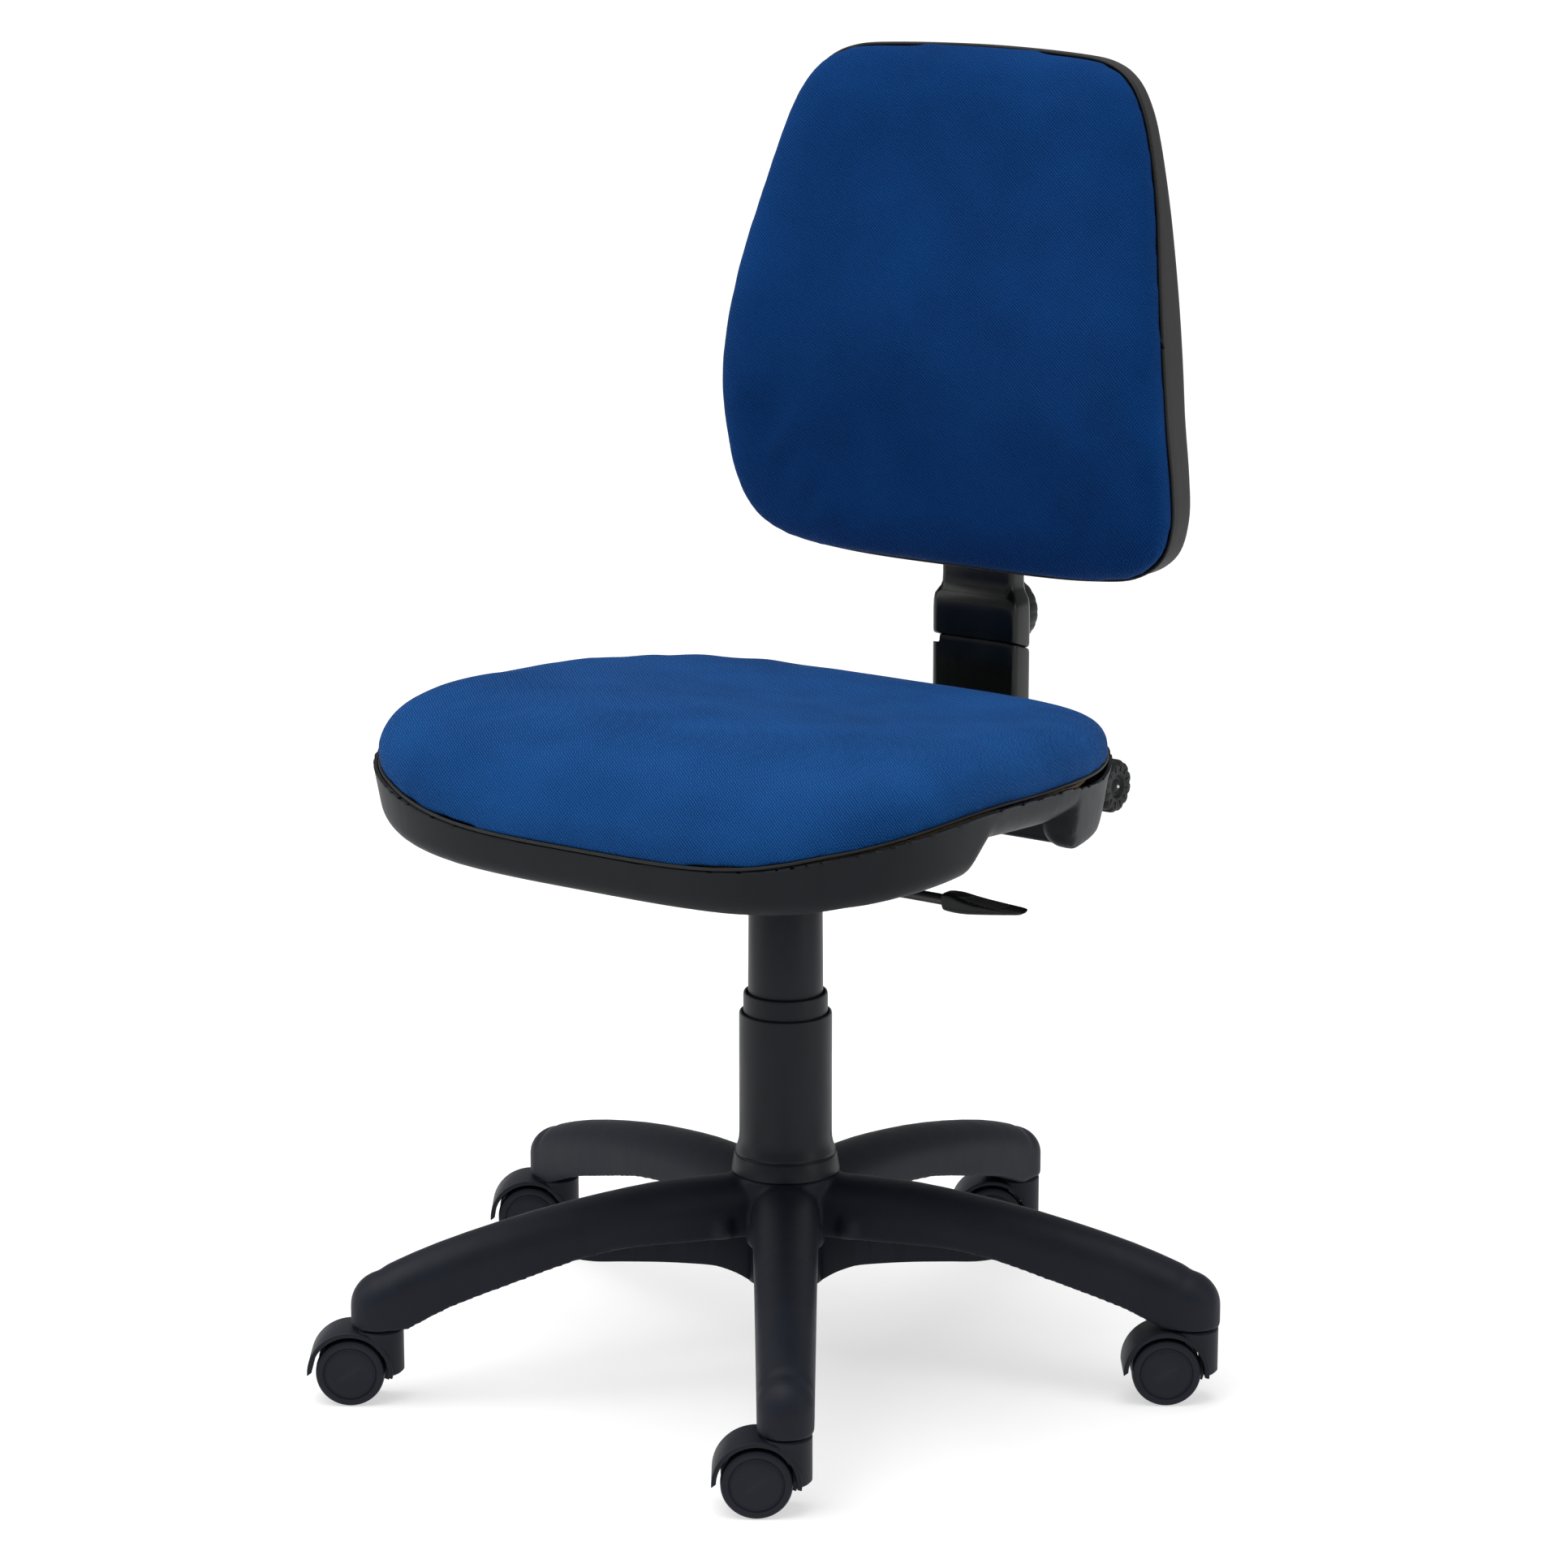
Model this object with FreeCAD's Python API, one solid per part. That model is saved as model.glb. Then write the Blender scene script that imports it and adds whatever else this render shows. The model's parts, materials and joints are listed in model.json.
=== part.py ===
import FreeCAD, Part
import math
import os
from FreeCAD import Vector as V

# Swivel office chair. Millimetres, +Z up, origin on the floor under the column's axis.
# The front of the chair faces -Y and +X is the sitter's left. The seat is near its middle
# height, the backrest at its lowest stop, and all casters trail the same way.

# ---------------------------------------------------------------- driving dimensions
# five-star base
ARM_COUNT = 5
FIRST_ARM_DEG = -55.0
STEM_CIRCLE_R = 309.5
SOCKET_R = 19.7
SOCKET_BOTTOM_Z = 57.0
HUB_R = 40.0
HUB_SKIRT_R = 29.0
HUB_BOTTOM_Z = 58.0
HUB_TOP_Z = 144.0
ARM_ROOT_WIDTH = 50.0
ARM_TIP_WIDTH = 2 * SOCKET_R
ARM_NOSE_R = 26.0
ARM_NOSE_TOP_Z = 97.0
BASE_WALL = 3.5
RIB_HALF = 1.2
SPINE_HALF = 1.4
STEM_BORE_TOP_Z = 90.5

# heights along an arm, by distance from the column's axis: crest, foot of the side walls, foot of
# the spine in the middle, which hangs lower near the hub
ARM_TOP = [(0, 143), (60, 143.5), (102, 142), (160, 135), (202, 127.5), (250, 116.5), (285, 106)]
ARM_TOP_END = (332, 88)
ARM_WALL_LOW = [(0, 101), (78, 101.5), (122, 102), (150, 99.5), (173, 95), (195, 89), (220, 82), (262, 70),
                (292, 57)]
ARM_SPINE_LOW = [(27, 59), (32, 62.5), (38, 66.5), (47, 71), (56, 74.5), (80, 79), (100, 82), (125, 85),
                 (150, 88), (178, 96)]

# casters
CASTER_TRAIL_DEG = 215.0
CASTER_TRAIL = 19.7
WHEEL_R = 25.0
WHEEL_INNER_Y = 4.0
WHEEL_OUTER_Y = 17.4
AXLE_R = 3.0
STEM_R = 5.5
HOOD_INNER_R = 27.6
HOOD_OUTER_R = 31.0
HOOD_HALF_WIDTH = 18.4
STEM_BLOCK_R = 18.4
WEB_HALF = 3.3
RUNNING_GAP = 0.05

# gas lift and its telescopic cover
TUBE_R = 25.0
TUBE_BOTTOM_Z = 64.0
TUBE_TAPER_TOP_Z = 124.0
TUBE_TOP_Z = 285.0
TUBE_WALL = 1.8
CYLINDER_R = 14.0
CYLINDER_BORE_R = 12.0
CYLINDER_BOTTOM_Z = 135.0
CYLINDER_TOP_Z = 388.0
ROD_R = 5.0
BUTTON_R = 4.0
BUTTON_TOP_Z = 394.0
SLEEVE_LOWER_R = 34.1
SLEEVE_LOWER_TOP_Z = 265.0
SLEEVE_MIDDLE_R = 31.0
SLEEVE_MIDDLE_Z = (168.0, 280.0)
SLEEVE_UPPER_R = (28.0, 27.0)
SLEEVE_UPPER_Z = (215.0, 352.0)
CONE_HUB_BOTTOM_Z = 353.0

# seat: plan outline, seam line and crown, as heights along Y
SEAT_HALF_WIDTH = 235.0
SEAT_HALF_DEPTH = 220.0
SEAT_CENTRE_Y = -30.0
SEAT_TAPER = 0.08
SEAT_FRONT_POWER = 3.6
SEAT_REAR_POWER = 3.3
SEAM_LINE = [(-260, 429), (-220, 457), (-130, 471), (0, 464), (120, 460), (200, 471)]
CROWN_LINE = [(-260, 452), (-222, 482), (-140, 499), (-30, 500), (80, 497), (150, 493), (200, 482)]
SEAT_RIM_ROUNDING = 9.0
SHELL_WALL = 3.0
SHELL_DRAFT = 0.15
SHELL_FLOOR = [(-260, 403), (-235, 411), (-212, 419), (-179, 424), (-121, 429), (-99, 451), (-10, 442),
               (200, 442)]
REAR_BLOCK_BOTTOM_Z = 412.0
POD_X = (189.0, 255.0)
POD_Y = (30.0, 103.0)
CROSS_BLOCK_HALF = 200.0
TUB_HALF = 110.0
TUB_Y = (48.0, 187.0)
BOARD_THICK = 10.0

# mechanism under the seat
WEB_Z = (444.0, 447.0)
CHEEK_X = (35.0, 38.0)
PIVOT_Y = 205.0
PIVOT_Z = 414.0
SPINDLE_R = 5.0
HANDWHEEL_R = 20.0
HANDWHEEL_FACE_X = 157.0
LEVER_PIN = (22.0, 400.0)
LEVER_PIN_R = 2.5
LEVER_ROD_R = 4.0
LEVER_OUT_Z = 370.0

# back bar, its covers and the height clamp
BAR_HALF = 22.0
BAR_Y = (254.0, 260.0)
COVER_HALF = 36.0
COVER_NECK_HALF = 31.0
COVER_Y = (246.0, 269.0)
COVER_WALL = 2.5
COVER_GAP = 0.8
KNOB_Z = 514.0
KNOB_R = 22.0

# backrest: half width by height, seam line at the middle of the panel by height
BACK_OUTLINE = [(0, 557), (70, 558.5), (118, 566), (153, 584), (176, 609), (190, 643), (194, 675),
                (192, 715), (187, 757), (179, 800), (169, 846), (158, 886), (148, 911), (134, 930),
                (113, 941), (80, 945), (0, 947)]
BACK_SEAM_LINE = [(550, 236), (600, 236), (640, 232), (680, 226), (720, 225), (780, 231), (850, 245),
                  (950, 258)]
BACK_REAR_LINE = [(550, 271), (620, 272), (720, 272), (850, 269), (950, 275)]
BACK_SEAM_SAG = 5.9e-4
BACK_REAR_SAG = [(550, 10e-4), (700, 11e-4), (850, 7e-4), (950, 6e-4)]
BACK_CROWN = 26.0
BACK_RIM_ROUNDING = 10.0
BACK_REACH_X = 230.0
BACK_MIDDLE_Z = 752.0
BACK_HALF_SIZE = (194.0, 195.0)


# ---------------------------------------------------------------- plain shape helpers
def cyl_z(r, z0, z1, x=0.0, y=0.0):
    return Part.makeCylinder(r, z1 - z0, V(x, y, z0))


def cyl_x(r, x0, x1, y, z):
    return Part.makeCylinder(r, x1 - x0, V(x0, y, z), V(1, 0, 0))


def cyl_y(r, y0, y1, x, z):
    return Part.makeCylinder(r, y1 - y0, V(x, y0, z), V(0, 1, 0))


def tube_z(r_out, r_in, z0, z1):
    return cyl_z(r_out, z0, z1).cut(cyl_z(r_in, z0 - 1, z1 + 1))


def box(x, y, z):
    return Part.makeBox(x[1] - x[0], y[1] - y[0], z[1] - z[0], V(x[0], y[0], z[0]))


def turned(profile):
    """A solid of revolution about Z from a closed (radius, height) outline."""
    points = [V(r, 0, z) for r, z in profile]
    wire = Part.makePolygon(points + points[:1])
    return Part.Face(wire).revolve(V(0, 0, 0), V(0, 0, 1), 360)


def joined(first, *others):
    return first.fuse(list(others)).removeSplitter()


def between(table, at):
    """Straight-line value of a (position, value) table."""
    for (p0, v0), (p1, v1) in zip(table, table[1:]):
        if at <= p1:
            return v0 + (v1 - v0) * (at - p0) / (p1 - p0)
    return table[-1][1]


def spline_edge(points):
    curve = Part.BSplineCurve()
    curve.interpolate(points)
    return curve.toShape()


def line_edges(points):
    return [Part.makeLine(a, b) for a, b in zip(points, points[1:])]


def lengthwise_slab(top, bottom, half, straight_bottom=False):
    """The solid between two (y, z) lines, running across the chair from -half to half."""
    upper = [V(-half, y, z) for y, z in top]
    lower = [V(-half, y, z) for y, z in bottom]
    bottom_edges = line_edges(lower) if straight_bottom else [spline_edge(lower)]
    ends = [Part.makeLine(upper[0], lower[0]), Part.makeLine(upper[-1], lower[-1])]
    wire = Part.Wire(Part.__sortEdges__([spline_edge(upper)] + bottom_edges + ends))
    return Part.Face(wire).extrude(V(2 * half, 0, 0))


def raised(line, by):
    return [(p, z + by) for p, z in line]


def save(name, shape):
    shape.exportStep(os.path.join("parts", name + ".step"))


# ---------------------------------------------------------------- five-star base
def arm_section(rho, width, low, top):
    """Inverted U: straight sides and a half-round top, in the plane across the arm."""
    half = width / 2
    shoulder = top - half * 0.9
    a, b = V(rho, -half, low), V(rho, -half, shoulder)
    c, d = V(rho, half, shoulder), V(rho, half, low)
    crown = Part.Arc(b, V(rho, 0, top), c).toShape()
    return Part.Wire([Part.makeLine(a, b), crown, Part.makeLine(c, d), Part.makeLine(d, a)])


def arm_volume(inset):
    """One arm along +X: a tapering half-round rail, trimmed to its side and plan outlines."""
    sections = []
    for rho in (10, 70, 140, 210, 270, 335):
        width = ARM_ROOT_WIDTH + (ARM_TIP_WIDTH - ARM_ROOT_WIDTH) * rho / STEM_CIRCLE_R
        top = between(ARM_TOP + [ARM_TOP_END], rho) - inset
        sections.append(arm_section(rho, width - 2 * inset, 40, top))
    rail = Part.makeLoft(sections, True)
    end_x = STEM_CIRCLE_R + SOCKET_R - inset
    nose_x = end_x - ARM_NOSE_R
    nose_top = ARM_NOSE_TOP_Z - inset
    above = 160.0
    nose = [V(nose_x, 0, nose_top + 4), V(end_x - 7.0, 0, nose_top - 9), V(end_x, 0, nose_top - ARM_NOSE_R)]
    low = [V(x, 0, z - inset) for x, z in ARM_WALL_LOW]
    outline = [spline_edge(nose), spline_edge(low)]
    outline += line_edges([low[0], V(0, 0, above), V(nose_x, 0, above), nose[0]])
    outline += line_edges([nose[-1], V(end_x, 0, SOCKET_BOTTOM_Z - inset), low[-1]])
    side = Part.Face(Part.Wire(Part.__sortEdges__(outline))).extrude(V(0, 80, 0))
    side.translate(V(0, -40, 0))
    plan = box((0, STEM_CIRCLE_R), (-40, 40), (0, 200))
    plan = plan.fuse(cyl_z(SOCKET_R - inset, 0, 200, STEM_CIRCLE_R))
    return rail.common(side).common(plan)


def arm_spine():
    """The deep rib under the middle of an arm, running out from the hub."""
    foot = [V(x, 0, z) for x, z in ARM_SPINE_LOW]
    crest = 125.0
    ends = line_edges([foot[-1], V(foot[-1].x, 0, crest), V(foot[0].x, 0, crest), foot[0]])
    plate = Part.Face(Part.Wire(Part.__sortEdges__([spline_edge(foot)] + ends)))
    spine = plate.extrude(V(0, 2 * SPINE_HALF, 0))
    spine.translate(V(0, -SPINE_HALF, 0))
    return spine


def stem_positions():
    for i in range(ARM_COUNT):
        angle = math.radians(FIRST_ARM_DEG + 360.0 / ARM_COUNT * i)
        yield i + 1, STEM_CIRCLE_R * math.cos(angle), STEM_CIRCLE_R * math.sin(angle)


def lift_tube_envelope(z1):
    taper = Part.makeCone(TUBE_R - 1.1, TUBE_R, TUBE_TAPER_TOP_Z - TUBE_BOTTOM_Z, V(0, 0, TUBE_BOTTOM_Z))
    return taper.fuse(cyl_z(TUBE_R, TUBE_TAPER_TOP_Z, z1))


def five_star_base():
    outer = arm_volume(0.0)
    hollow = arm_volume(BASE_WALL)
    hollow = hollow.cut(cyl_z(SOCKET_R, 0, 200, STEM_CIRCLE_R))
    arm = outer.cut(hollow)
    for rho in (90, 145, 200, 250):
        arm = arm.fuse(outer.common(box((rho - RIB_HALF, rho + RIB_HALF), (-30, 30), (0, 200))))
    arm = arm.fuse(outer.common(box((30, STEM_CIRCLE_R), (-SPINE_HALF, SPINE_HALF), (0, 200))))
    arm = arm.cut(cyl_z(STEM_R, SOCKET_BOTTOM_Z - 1, STEM_BORE_TOP_Z, STEM_CIRCLE_R))
    arm = arm.cut(cyl_z(HUB_R - 4, 0, 200)).fuse(arm_spine())
    base = turned([(0, HUB_BOTTOM_Z), (HUB_SKIRT_R, HUB_BOTTOM_Z), (HUB_SKIRT_R, 94), (HUB_R - 1, 100),
                   (HUB_R + 1, 130), (HUB_R - 2, HUB_TOP_Z), (0, HUB_TOP_Z)])
    for i in range(ARM_COUNT):
        copy = arm.copy()
        copy.rotate(V(0, 0, 0), V(0, 0, 1), FIRST_ARM_DEG + 360.0 / ARM_COUNT * i)
        base = base.fuse(copy)
    base = base.cut(lift_tube_envelope(HUB_TOP_Z + 1))
    return base.cut(cyl_z(TUBE_R - 1.1, HUB_BOTTOM_Z - 1, TUBE_BOTTOM_Z + 1))


def caster_stem_set(make):
    """The same small piece in each of the five sockets."""
    solids = []
    for _, x, y in stem_positions():
        piece = make()
        piece.translate(V(x, y, 0))
        solids.append(piece)
    return Part.makeCompound(solids)


def caster_stem():
    shank = cyl_z(STEM_R, 46, 87).cut(tube_z(STEM_R + 1, STEM_R - 0.8, 74, 80))
    return shank.fuse(Part.makeCone(STEM_R, STEM_R - 2, 3, V(0, 0, 87)))


def grip_ring():
    ring = tube_z(STEM_R, STEM_R - 0.8, 74.3, 79.7)
    return ring.cut(box((0, 10), (-1, 1), (70, 90)))


# ---------------------------------------------------------------- one caster, trailing along +X
def wheel_disc(r, y0, y1):
    return cyl_y(r, y0, y1, CASTER_TRAIL, WHEEL_R)


def caster_housing():
    hood = wheel_disc(HOOD_OUTER_R, -HOOD_HALF_WIDTH, HOOD_HALF_WIDTH)
    below_centre = box((CASTER_TRAIL, 80), (-40, 40), (-20, WHEEL_R - 1))
    behind = box((-40, CASTER_TRAIL), (-40, 40), (-20, 22))
    hood = hood.cut(below_centre).cut(behind)
    block = cyl_z(STEM_BLOCK_R, 22, 56)
    block = block.cut(box((0, 40), (-40, 40), (0, WHEEL_R)))
    body = hood.fuse(block)
    wheel_space = wheel_disc(HOOD_INNER_R, WEB_HALF, 40).fuse(wheel_disc(HOOD_INNER_R, -40, -WEB_HALF))
    body = body.cut(wheel_space)
    body = body.fuse(wheel_disc(8.0, -WEB_HALF, WEB_HALF))
    body = body.fuse(box((-6, CASTER_TRAIL + 8), (-WEB_HALF, WEB_HALF), (17, 40)))
    body = body.cut(wheel_disc(AXLE_R, -20, 20))
    return body.cut(cyl_z(STEM_R + RUNNING_GAP, 45, 60)).removeSplitter()


def caster_axle():
    return wheel_disc(AXLE_R, -14, 14)


def caster_wheel(side):
    tyre = wheel_disc(WHEEL_R, WHEEL_INNER_Y, WHEEL_OUTER_Y)
    rims = [e for e in tyre.Edges if abs(e.Length - 2 * math.pi * WHEEL_R) < 0.1]
    tyre = tyre.makeFillet(1.8, rims)
    recess = wheel_disc(21, WHEEL_INNER_Y - 1, 12).cut(wheel_disc(8, WHEEL_INNER_Y - 1, 12))
    groove = wheel_disc(19.6, WHEEL_OUTER_Y - 0.8, 20).cut(wheel_disc(18.6, WHEEL_OUTER_Y - 0.8, 20))
    wheel = tyre.cut(recess).cut(groove).cut(wheel_disc(AXLE_R + RUNNING_GAP, 0, 14.3))
    if side < 0:
        wheel = wheel.mirror(V(0, 0, 0), V(0, 1, 0))
    return wheel


def placed(piece, x, y):
    piece.rotate(V(0, 0, 0), V(0, 0, 1), CASTER_TRAIL_DEG)
    piece.translate(V(x, y, 0))
    return piece


# ---------------------------------------------------------------- gas lift and telescopic cover
def lift_outer_tube():
    bore = cyl_z(TUBE_R - TUBE_WALL - 1.1, TUBE_BOTTOM_Z + 3, TUBE_TOP_Z + 1)
    return lift_tube_envelope(TUBE_TOP_Z).cut(bore).cut(cyl_z(ROD_R + RUNNING_GAP, 60, 70))


def lift_guide_bush():
    bore_r = TUBE_R - TUBE_WALL - 1.1
    return tube_z(bore_r, CYLINDER_R + RUNNING_GAP, 196, TUBE_TOP_Z - 2)


def thrust_bearing_washers():
    lower = tube_z(12, ROD_R + 0.2, 67, 69)
    upper = tube_z(12, ROD_R + 0.2, 73, 75)
    return Part.makeCompound([lower, upper])


def thrust_bearing_balls():
    balls = []
    for i in range(10):
        angle = math.radians(36 * i)
        balls.append(Part.makeSphere(2.0, V(8.8 * math.cos(angle), 8.8 * math.sin(angle), 71)))
    return Part.makeCompound(balls)


def piston_rod():
    rod = cyl_z(ROD_R, 57, 220).cut(tube_z(ROD_R + 1, ROD_R - 0.9, 61, 62.6))
    head = cyl_z(CYLINDER_BORE_R - RUNNING_GAP, 219, 227)
    collar = cyl_z(7, 75.2, 82)
    return joined(rod, head, collar)


def rod_clip():
    ring = tube_z(10, ROD_R - 0.9, 61.1, 62.5)
    return ring.cut(box((0, 20), (-2.5, 2.5), (60, 64)))


def gas_cylinder():
    body = cyl_z(CYLINDER_R, CYLINDER_BOTTOM_Z, 345)
    body = body.fuse(Part.makeCone(CYLINDER_R, CYLINDER_R - 0.9, CYLINDER_TOP_Z - 345, V(0, 0, 345)))
    body = body.cut(cyl_z(CYLINDER_BORE_R, CYLINDER_BOTTOM_Z + 12, 370))
    body = body.cut(cyl_z(ROD_R + RUNNING_GAP, CYLINDER_BOTTOM_Z - 1, CYLINDER_BOTTOM_Z + 13))
    return body.cut(cyl_z(BUTTON_R + RUNNING_GAP, 369, CYLINDER_TOP_Z + 1))


def release_button():
    return cyl_z(BUTTON_R, 374, BUTTON_TOP_Z)


def column_sleeve_lower():
    r, wall, top = SLEEVE_LOWER_R, 2.6, SLEEVE_LOWER_TOP_Z
    return turned([(TUBE_R + 0.4, HUB_TOP_Z), (39.8, HUB_TOP_Z), (37.8, 156.5), (36.4, 157.2), (36.8, 159),
                   (r + 1, 165), (r, 171), (r, top - 2), (r - 1, top), (r - wall, top), (r - wall, 150),
                   (TUBE_R + 0.4, 150)])


def column_sleeve_middle():
    z0, z1 = SLEEVE_MIDDLE_Z
    r, wall = SLEEVE_MIDDLE_R, 2.4
    return turned([(r - wall, z0), (r - 0.5, z0), (r, z0 + 3), (r, z1 - 2), (r - 1, z1), (r - wall, z1)])


def column_sleeve_upper():
    z0, z1 = SLEEVE_UPPER_Z
    low, high = SLEEVE_UPPER_R
    bore = TUBE_R + 0.4
    return turned([(bore, z0), (low - 0.5, z0), (low, z0 + 2), (high, z1), (CYLINDER_R, z1), (CYLINDER_R, z1 - 3),
                   (bore, z1 - 3)])


# ---------------------------------------------------------------- seat outline
def seat_outline(inset, z):
    """Closed plan curve of the seat: a squarish oval, wider in front, drawn in by inset."""
    points = []
    steps = 48
    for i in range(steps):
        angle = 2 * math.pi * i / steps
        c, s = math.cos(angle), math.sin(angle)
        power = SEAT_REAR_POWER if s > 0 else SEAT_FRONT_POWER
        half_w, half_d = SEAT_HALF_WIDTH - inset, SEAT_HALF_DEPTH - inset
        reach = (abs(c / half_w) ** power + abs(s / half_d) ** power) ** (-1 / power)
        taper = 1 - SEAT_TAPER * reach * s / half_d
        points.append(V(reach * c * taper, SEAT_CENTRE_Y + reach * s, z))
    curve = Part.BSplineCurve()
    curve.interpolate(Points=points, PeriodicFlag=True)
    return Part.Wire([curve.toShape()])


def seat_prism(inset, z0, z1, draft=0.0):
    """Upright walls on the seat outline, leaning in by draft below the seam height."""
    wires = [seat_outline(inset + draft * (465 - z), z) for z in (z0, z1)]
    return Part.makeLoft(wires, True, True)


def seat_cushion(board):
    pad = seat_prism(0.0, 400, 530).common(lengthwise_slab(CROWN_LINE, raised(SEAM_LINE, 0.5), 260))
    rim = [e for e in pad.Edges if e.BoundBox.ZMax > 479 and e.BoundBox.XLength > 100]
    pad = pad.makeFillet(SEAT_RIM_ROUNDING, rim)
    return pad.cut(board)


def board_pad_positions():
    return [(x, y) for x in (-70.0, 70.0) for y in (-60.0, 150.0)]


def armrest_hole_positions():
    return [(x, y) for x in (-130.0, 130.0) for y in (-65.0, -5.0)]


def seat_board():
    board = seat_prism(14.0, 400, 530).common(
        lengthwise_slab(raised(SEAM_LINE, -1), raised(SEAM_LINE, -1 - BOARD_THICK), 260))
    for x, y in board_pad_positions():
        board = board.fuse(cyl_z(13, WEB_Z[1], 460, x, y))
    for x, y in board_pad_positions():
        board = board.cut(cyl_z(3.2, 440, 480, x, y)).cut(cyl_z(4.5, 452, 480, x, y))
    for x, y in armrest_hole_positions():
        board = board.cut(cyl_z(4.5, 440, 480, x, y))
    return board.removeSplitter()


def tee_nut(x, y, z_low, z_top):
    barrel = cyl_z(4.5, z_low, z_top, x, y)
    return barrel.cut(cyl_z(3.2, z_low - 1, z_top + 1, x, y))


def tee_nuts(positions, z_low):
    nuts = [tee_nut(x, y, z_low, between(SEAM_LINE, y) - 3) for x, y in positions]
    return Part.makeCompound(nuts)


def seat_screws():
    screws = []
    for x, y in board_pad_positions():
        shank = cyl_z(3.0, WEB_Z[0], 456, x, y)
        screws.append(shank.fuse(cyl_z(6.0, WEB_Z[0] - 4, WEB_Z[0], x, y)))
    return Part.makeCompound(screws)


# ---------------------------------------------------------------- seat shell
def shell_volume(inset, top_by):
    """Outside of the shell, or with an inset its inside: tray, side pods and rear tub."""
    tray = lengthwise_slab(raised(SEAM_LINE, top_by), raised(SHELL_FLOOR, inset), 260, True)
    blocks = [shell_pod(-1, inset), shell_pod(1, inset), shell_cross_block(inset), shell_tub(inset)]
    return seat_prism(inset, 350, 500, SHELL_DRAFT).common(tray.fuse(blocks))


def shell_pod(side, inset):
    """The rounded block that hangs from the shell's side wall near its rear corner."""
    across = sorted((side * (POD_X[0] + inset), side * POD_X[1]))
    low = REAR_BLOCK_BOTTOM_Z + inset
    pod = box(across, (POD_Y[0] + inset, POD_Y[1] - inset), (low, 455))
    rounded = [e for e in pod.Edges if e.BoundBox.ZLength > 20]
    pod = pod.makeFillet(18.0 - inset, rounded)
    foot = [e for e in pod.Edges if e.BoundBox.ZMax < low + 0.1]
    return pod.makeFillet(10.0 - inset, foot)


def shell_cross_block(inset):
    """The hollow beam from pod to pod."""
    half = CROSS_BLOCK_HALF
    return box((-half, half), (TUB_Y[0] + inset, POD_Y[1] - inset), (REAR_BLOCK_BOTTOM_Z + inset, 455))


def shell_tub(inset):
    """The deeper middle of the shell behind the column."""
    low = REAR_BLOCK_BOTTOM_Z + inset
    tub = box((inset - TUB_HALF, TUB_HALF - inset), (TUB_Y[0] + inset, TUB_Y[1] - inset), (low, 455))
    rounded = [e for e in tub.Edges if e.BoundBox.ZLength > 20 and e.BoundBox.YMin > TUB_Y[0] + 80]
    return tub.makeFillet(12.0 - inset, rounded)


def seat_shell():
    shell = shell_volume(0.0, -1.0).cut(shell_volume(SHELL_WALL, 20.0))
    shell = shell.cut(box((-92, 92), (-95, 50), (425, 455)))
    shell = shell.cut(box((-92, 92), (46, 54), (425, 455)))
    shell = shell.cut(box((-44, 44), (40, 192), (405, 425)))
    shell = shell.cut(box((-44, 44), (160, 220), (392, 446)))
    for x, y in armrest_hole_positions():
        shell = shell.cut(cyl_z(3.2, 440, 460, x, y))
    return shell.removeSplitter()


# ---------------------------------------------------------------- mechanism
def mechanism_plate():
    web = box((-85, 85), (-90, 172), WEB_Z)
    x0, x1 = CHEEK_X
    plate = web
    for side in (-1, 1):
        span = (x0, x1) if side > 0 else (-x1, -x0)
        cheek = box(span, (-62, 150), (385, WEB_Z[0]))
        ear = box(span, (150, PIVOT_Y), (PIVOT_Z - 14, PIVOT_Z + 14))
        tip = cyl_x(14, span[0], span[1], PIVOT_Y, PIVOT_Z)
        gusset = box(span, (140, 172), (400, WEB_Z[0]))
        plate = plate.fuse([cheek, ear, tip, gusset])
    floor = box((-x1, x1), (-62, 62), (385, 388))
    lugs = [box((14, 30), (y, y + 3), (393, WEB_Z[0])) for y in (-9.5, 6.5)]
    plate = plate.fuse([floor] + lugs)
    plate = plate.cut(cyl_z(18, 380, 390))
    plate = plate.cut(cyl_x(SPINDLE_R, -60, 60, PIVOT_Y, PIVOT_Z))
    plate = plate.cut(cyl_y(LEVER_PIN_R, -20, 20, LEVER_PIN[0], LEVER_PIN[1]))
    plate = plate.cut(box((30, 45), (-8, 8), (386, 412)))
    for x, y in board_pad_positions():
        plate = plate.cut(cyl_z(3.2, 440, 450, x, y))
    return plate.removeSplitter()


def cone_hub():
    return cyl_z(18, CONE_HUB_BOTTOM_Z, CYLINDER_TOP_Z).cut(gas_cylinder_envelope())


def gas_cylinder_envelope():
    return Part.makeCone(CYLINDER_R, CYLINDER_R - 0.9, CYLINDER_TOP_Z - 345, V(0, 0, 345))


def lever_pin():
    return cyl_y(LEVER_PIN_R, -11, 11, LEVER_PIN[0], LEVER_PIN[1])


def lever_rod():
    """A cranked rod: finger over the button, eye on its pin, then down and out to the paddle."""
    px, pz = LEVER_PIN
    finger = cyl_y(3.0, -4, 4, 0, BUTTON_TOP_Z + 3.4)
    arm = box((0, px), (-4, 4), (BUTTON_TOP_Z + 1.4, BUTTON_TOP_Z + 6.4))
    eye = cyl_y(6.0, -5.5, 5.5, px, pz)
    path = [V(px + 3, 0, pz), V(58, 0, pz), V(84, 0, LEVER_OUT_Z), V(150, 0, LEVER_OUT_Z)]
    rod = finger.fuse([arm, eye])
    for a, b in zip(path, path[1:]):
        rod = rod.fuse(Part.makeCylinder(LEVER_ROD_R, (b - a).Length, a, b - a))
    for bend in path[1:-1]:
        rod = rod.fuse(Part.makeSphere(LEVER_ROD_R, bend))
    return rod.cut(cyl_y(LEVER_PIN_R + RUNNING_GAP, -10, 10, px, pz)).removeSplitter()


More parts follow.
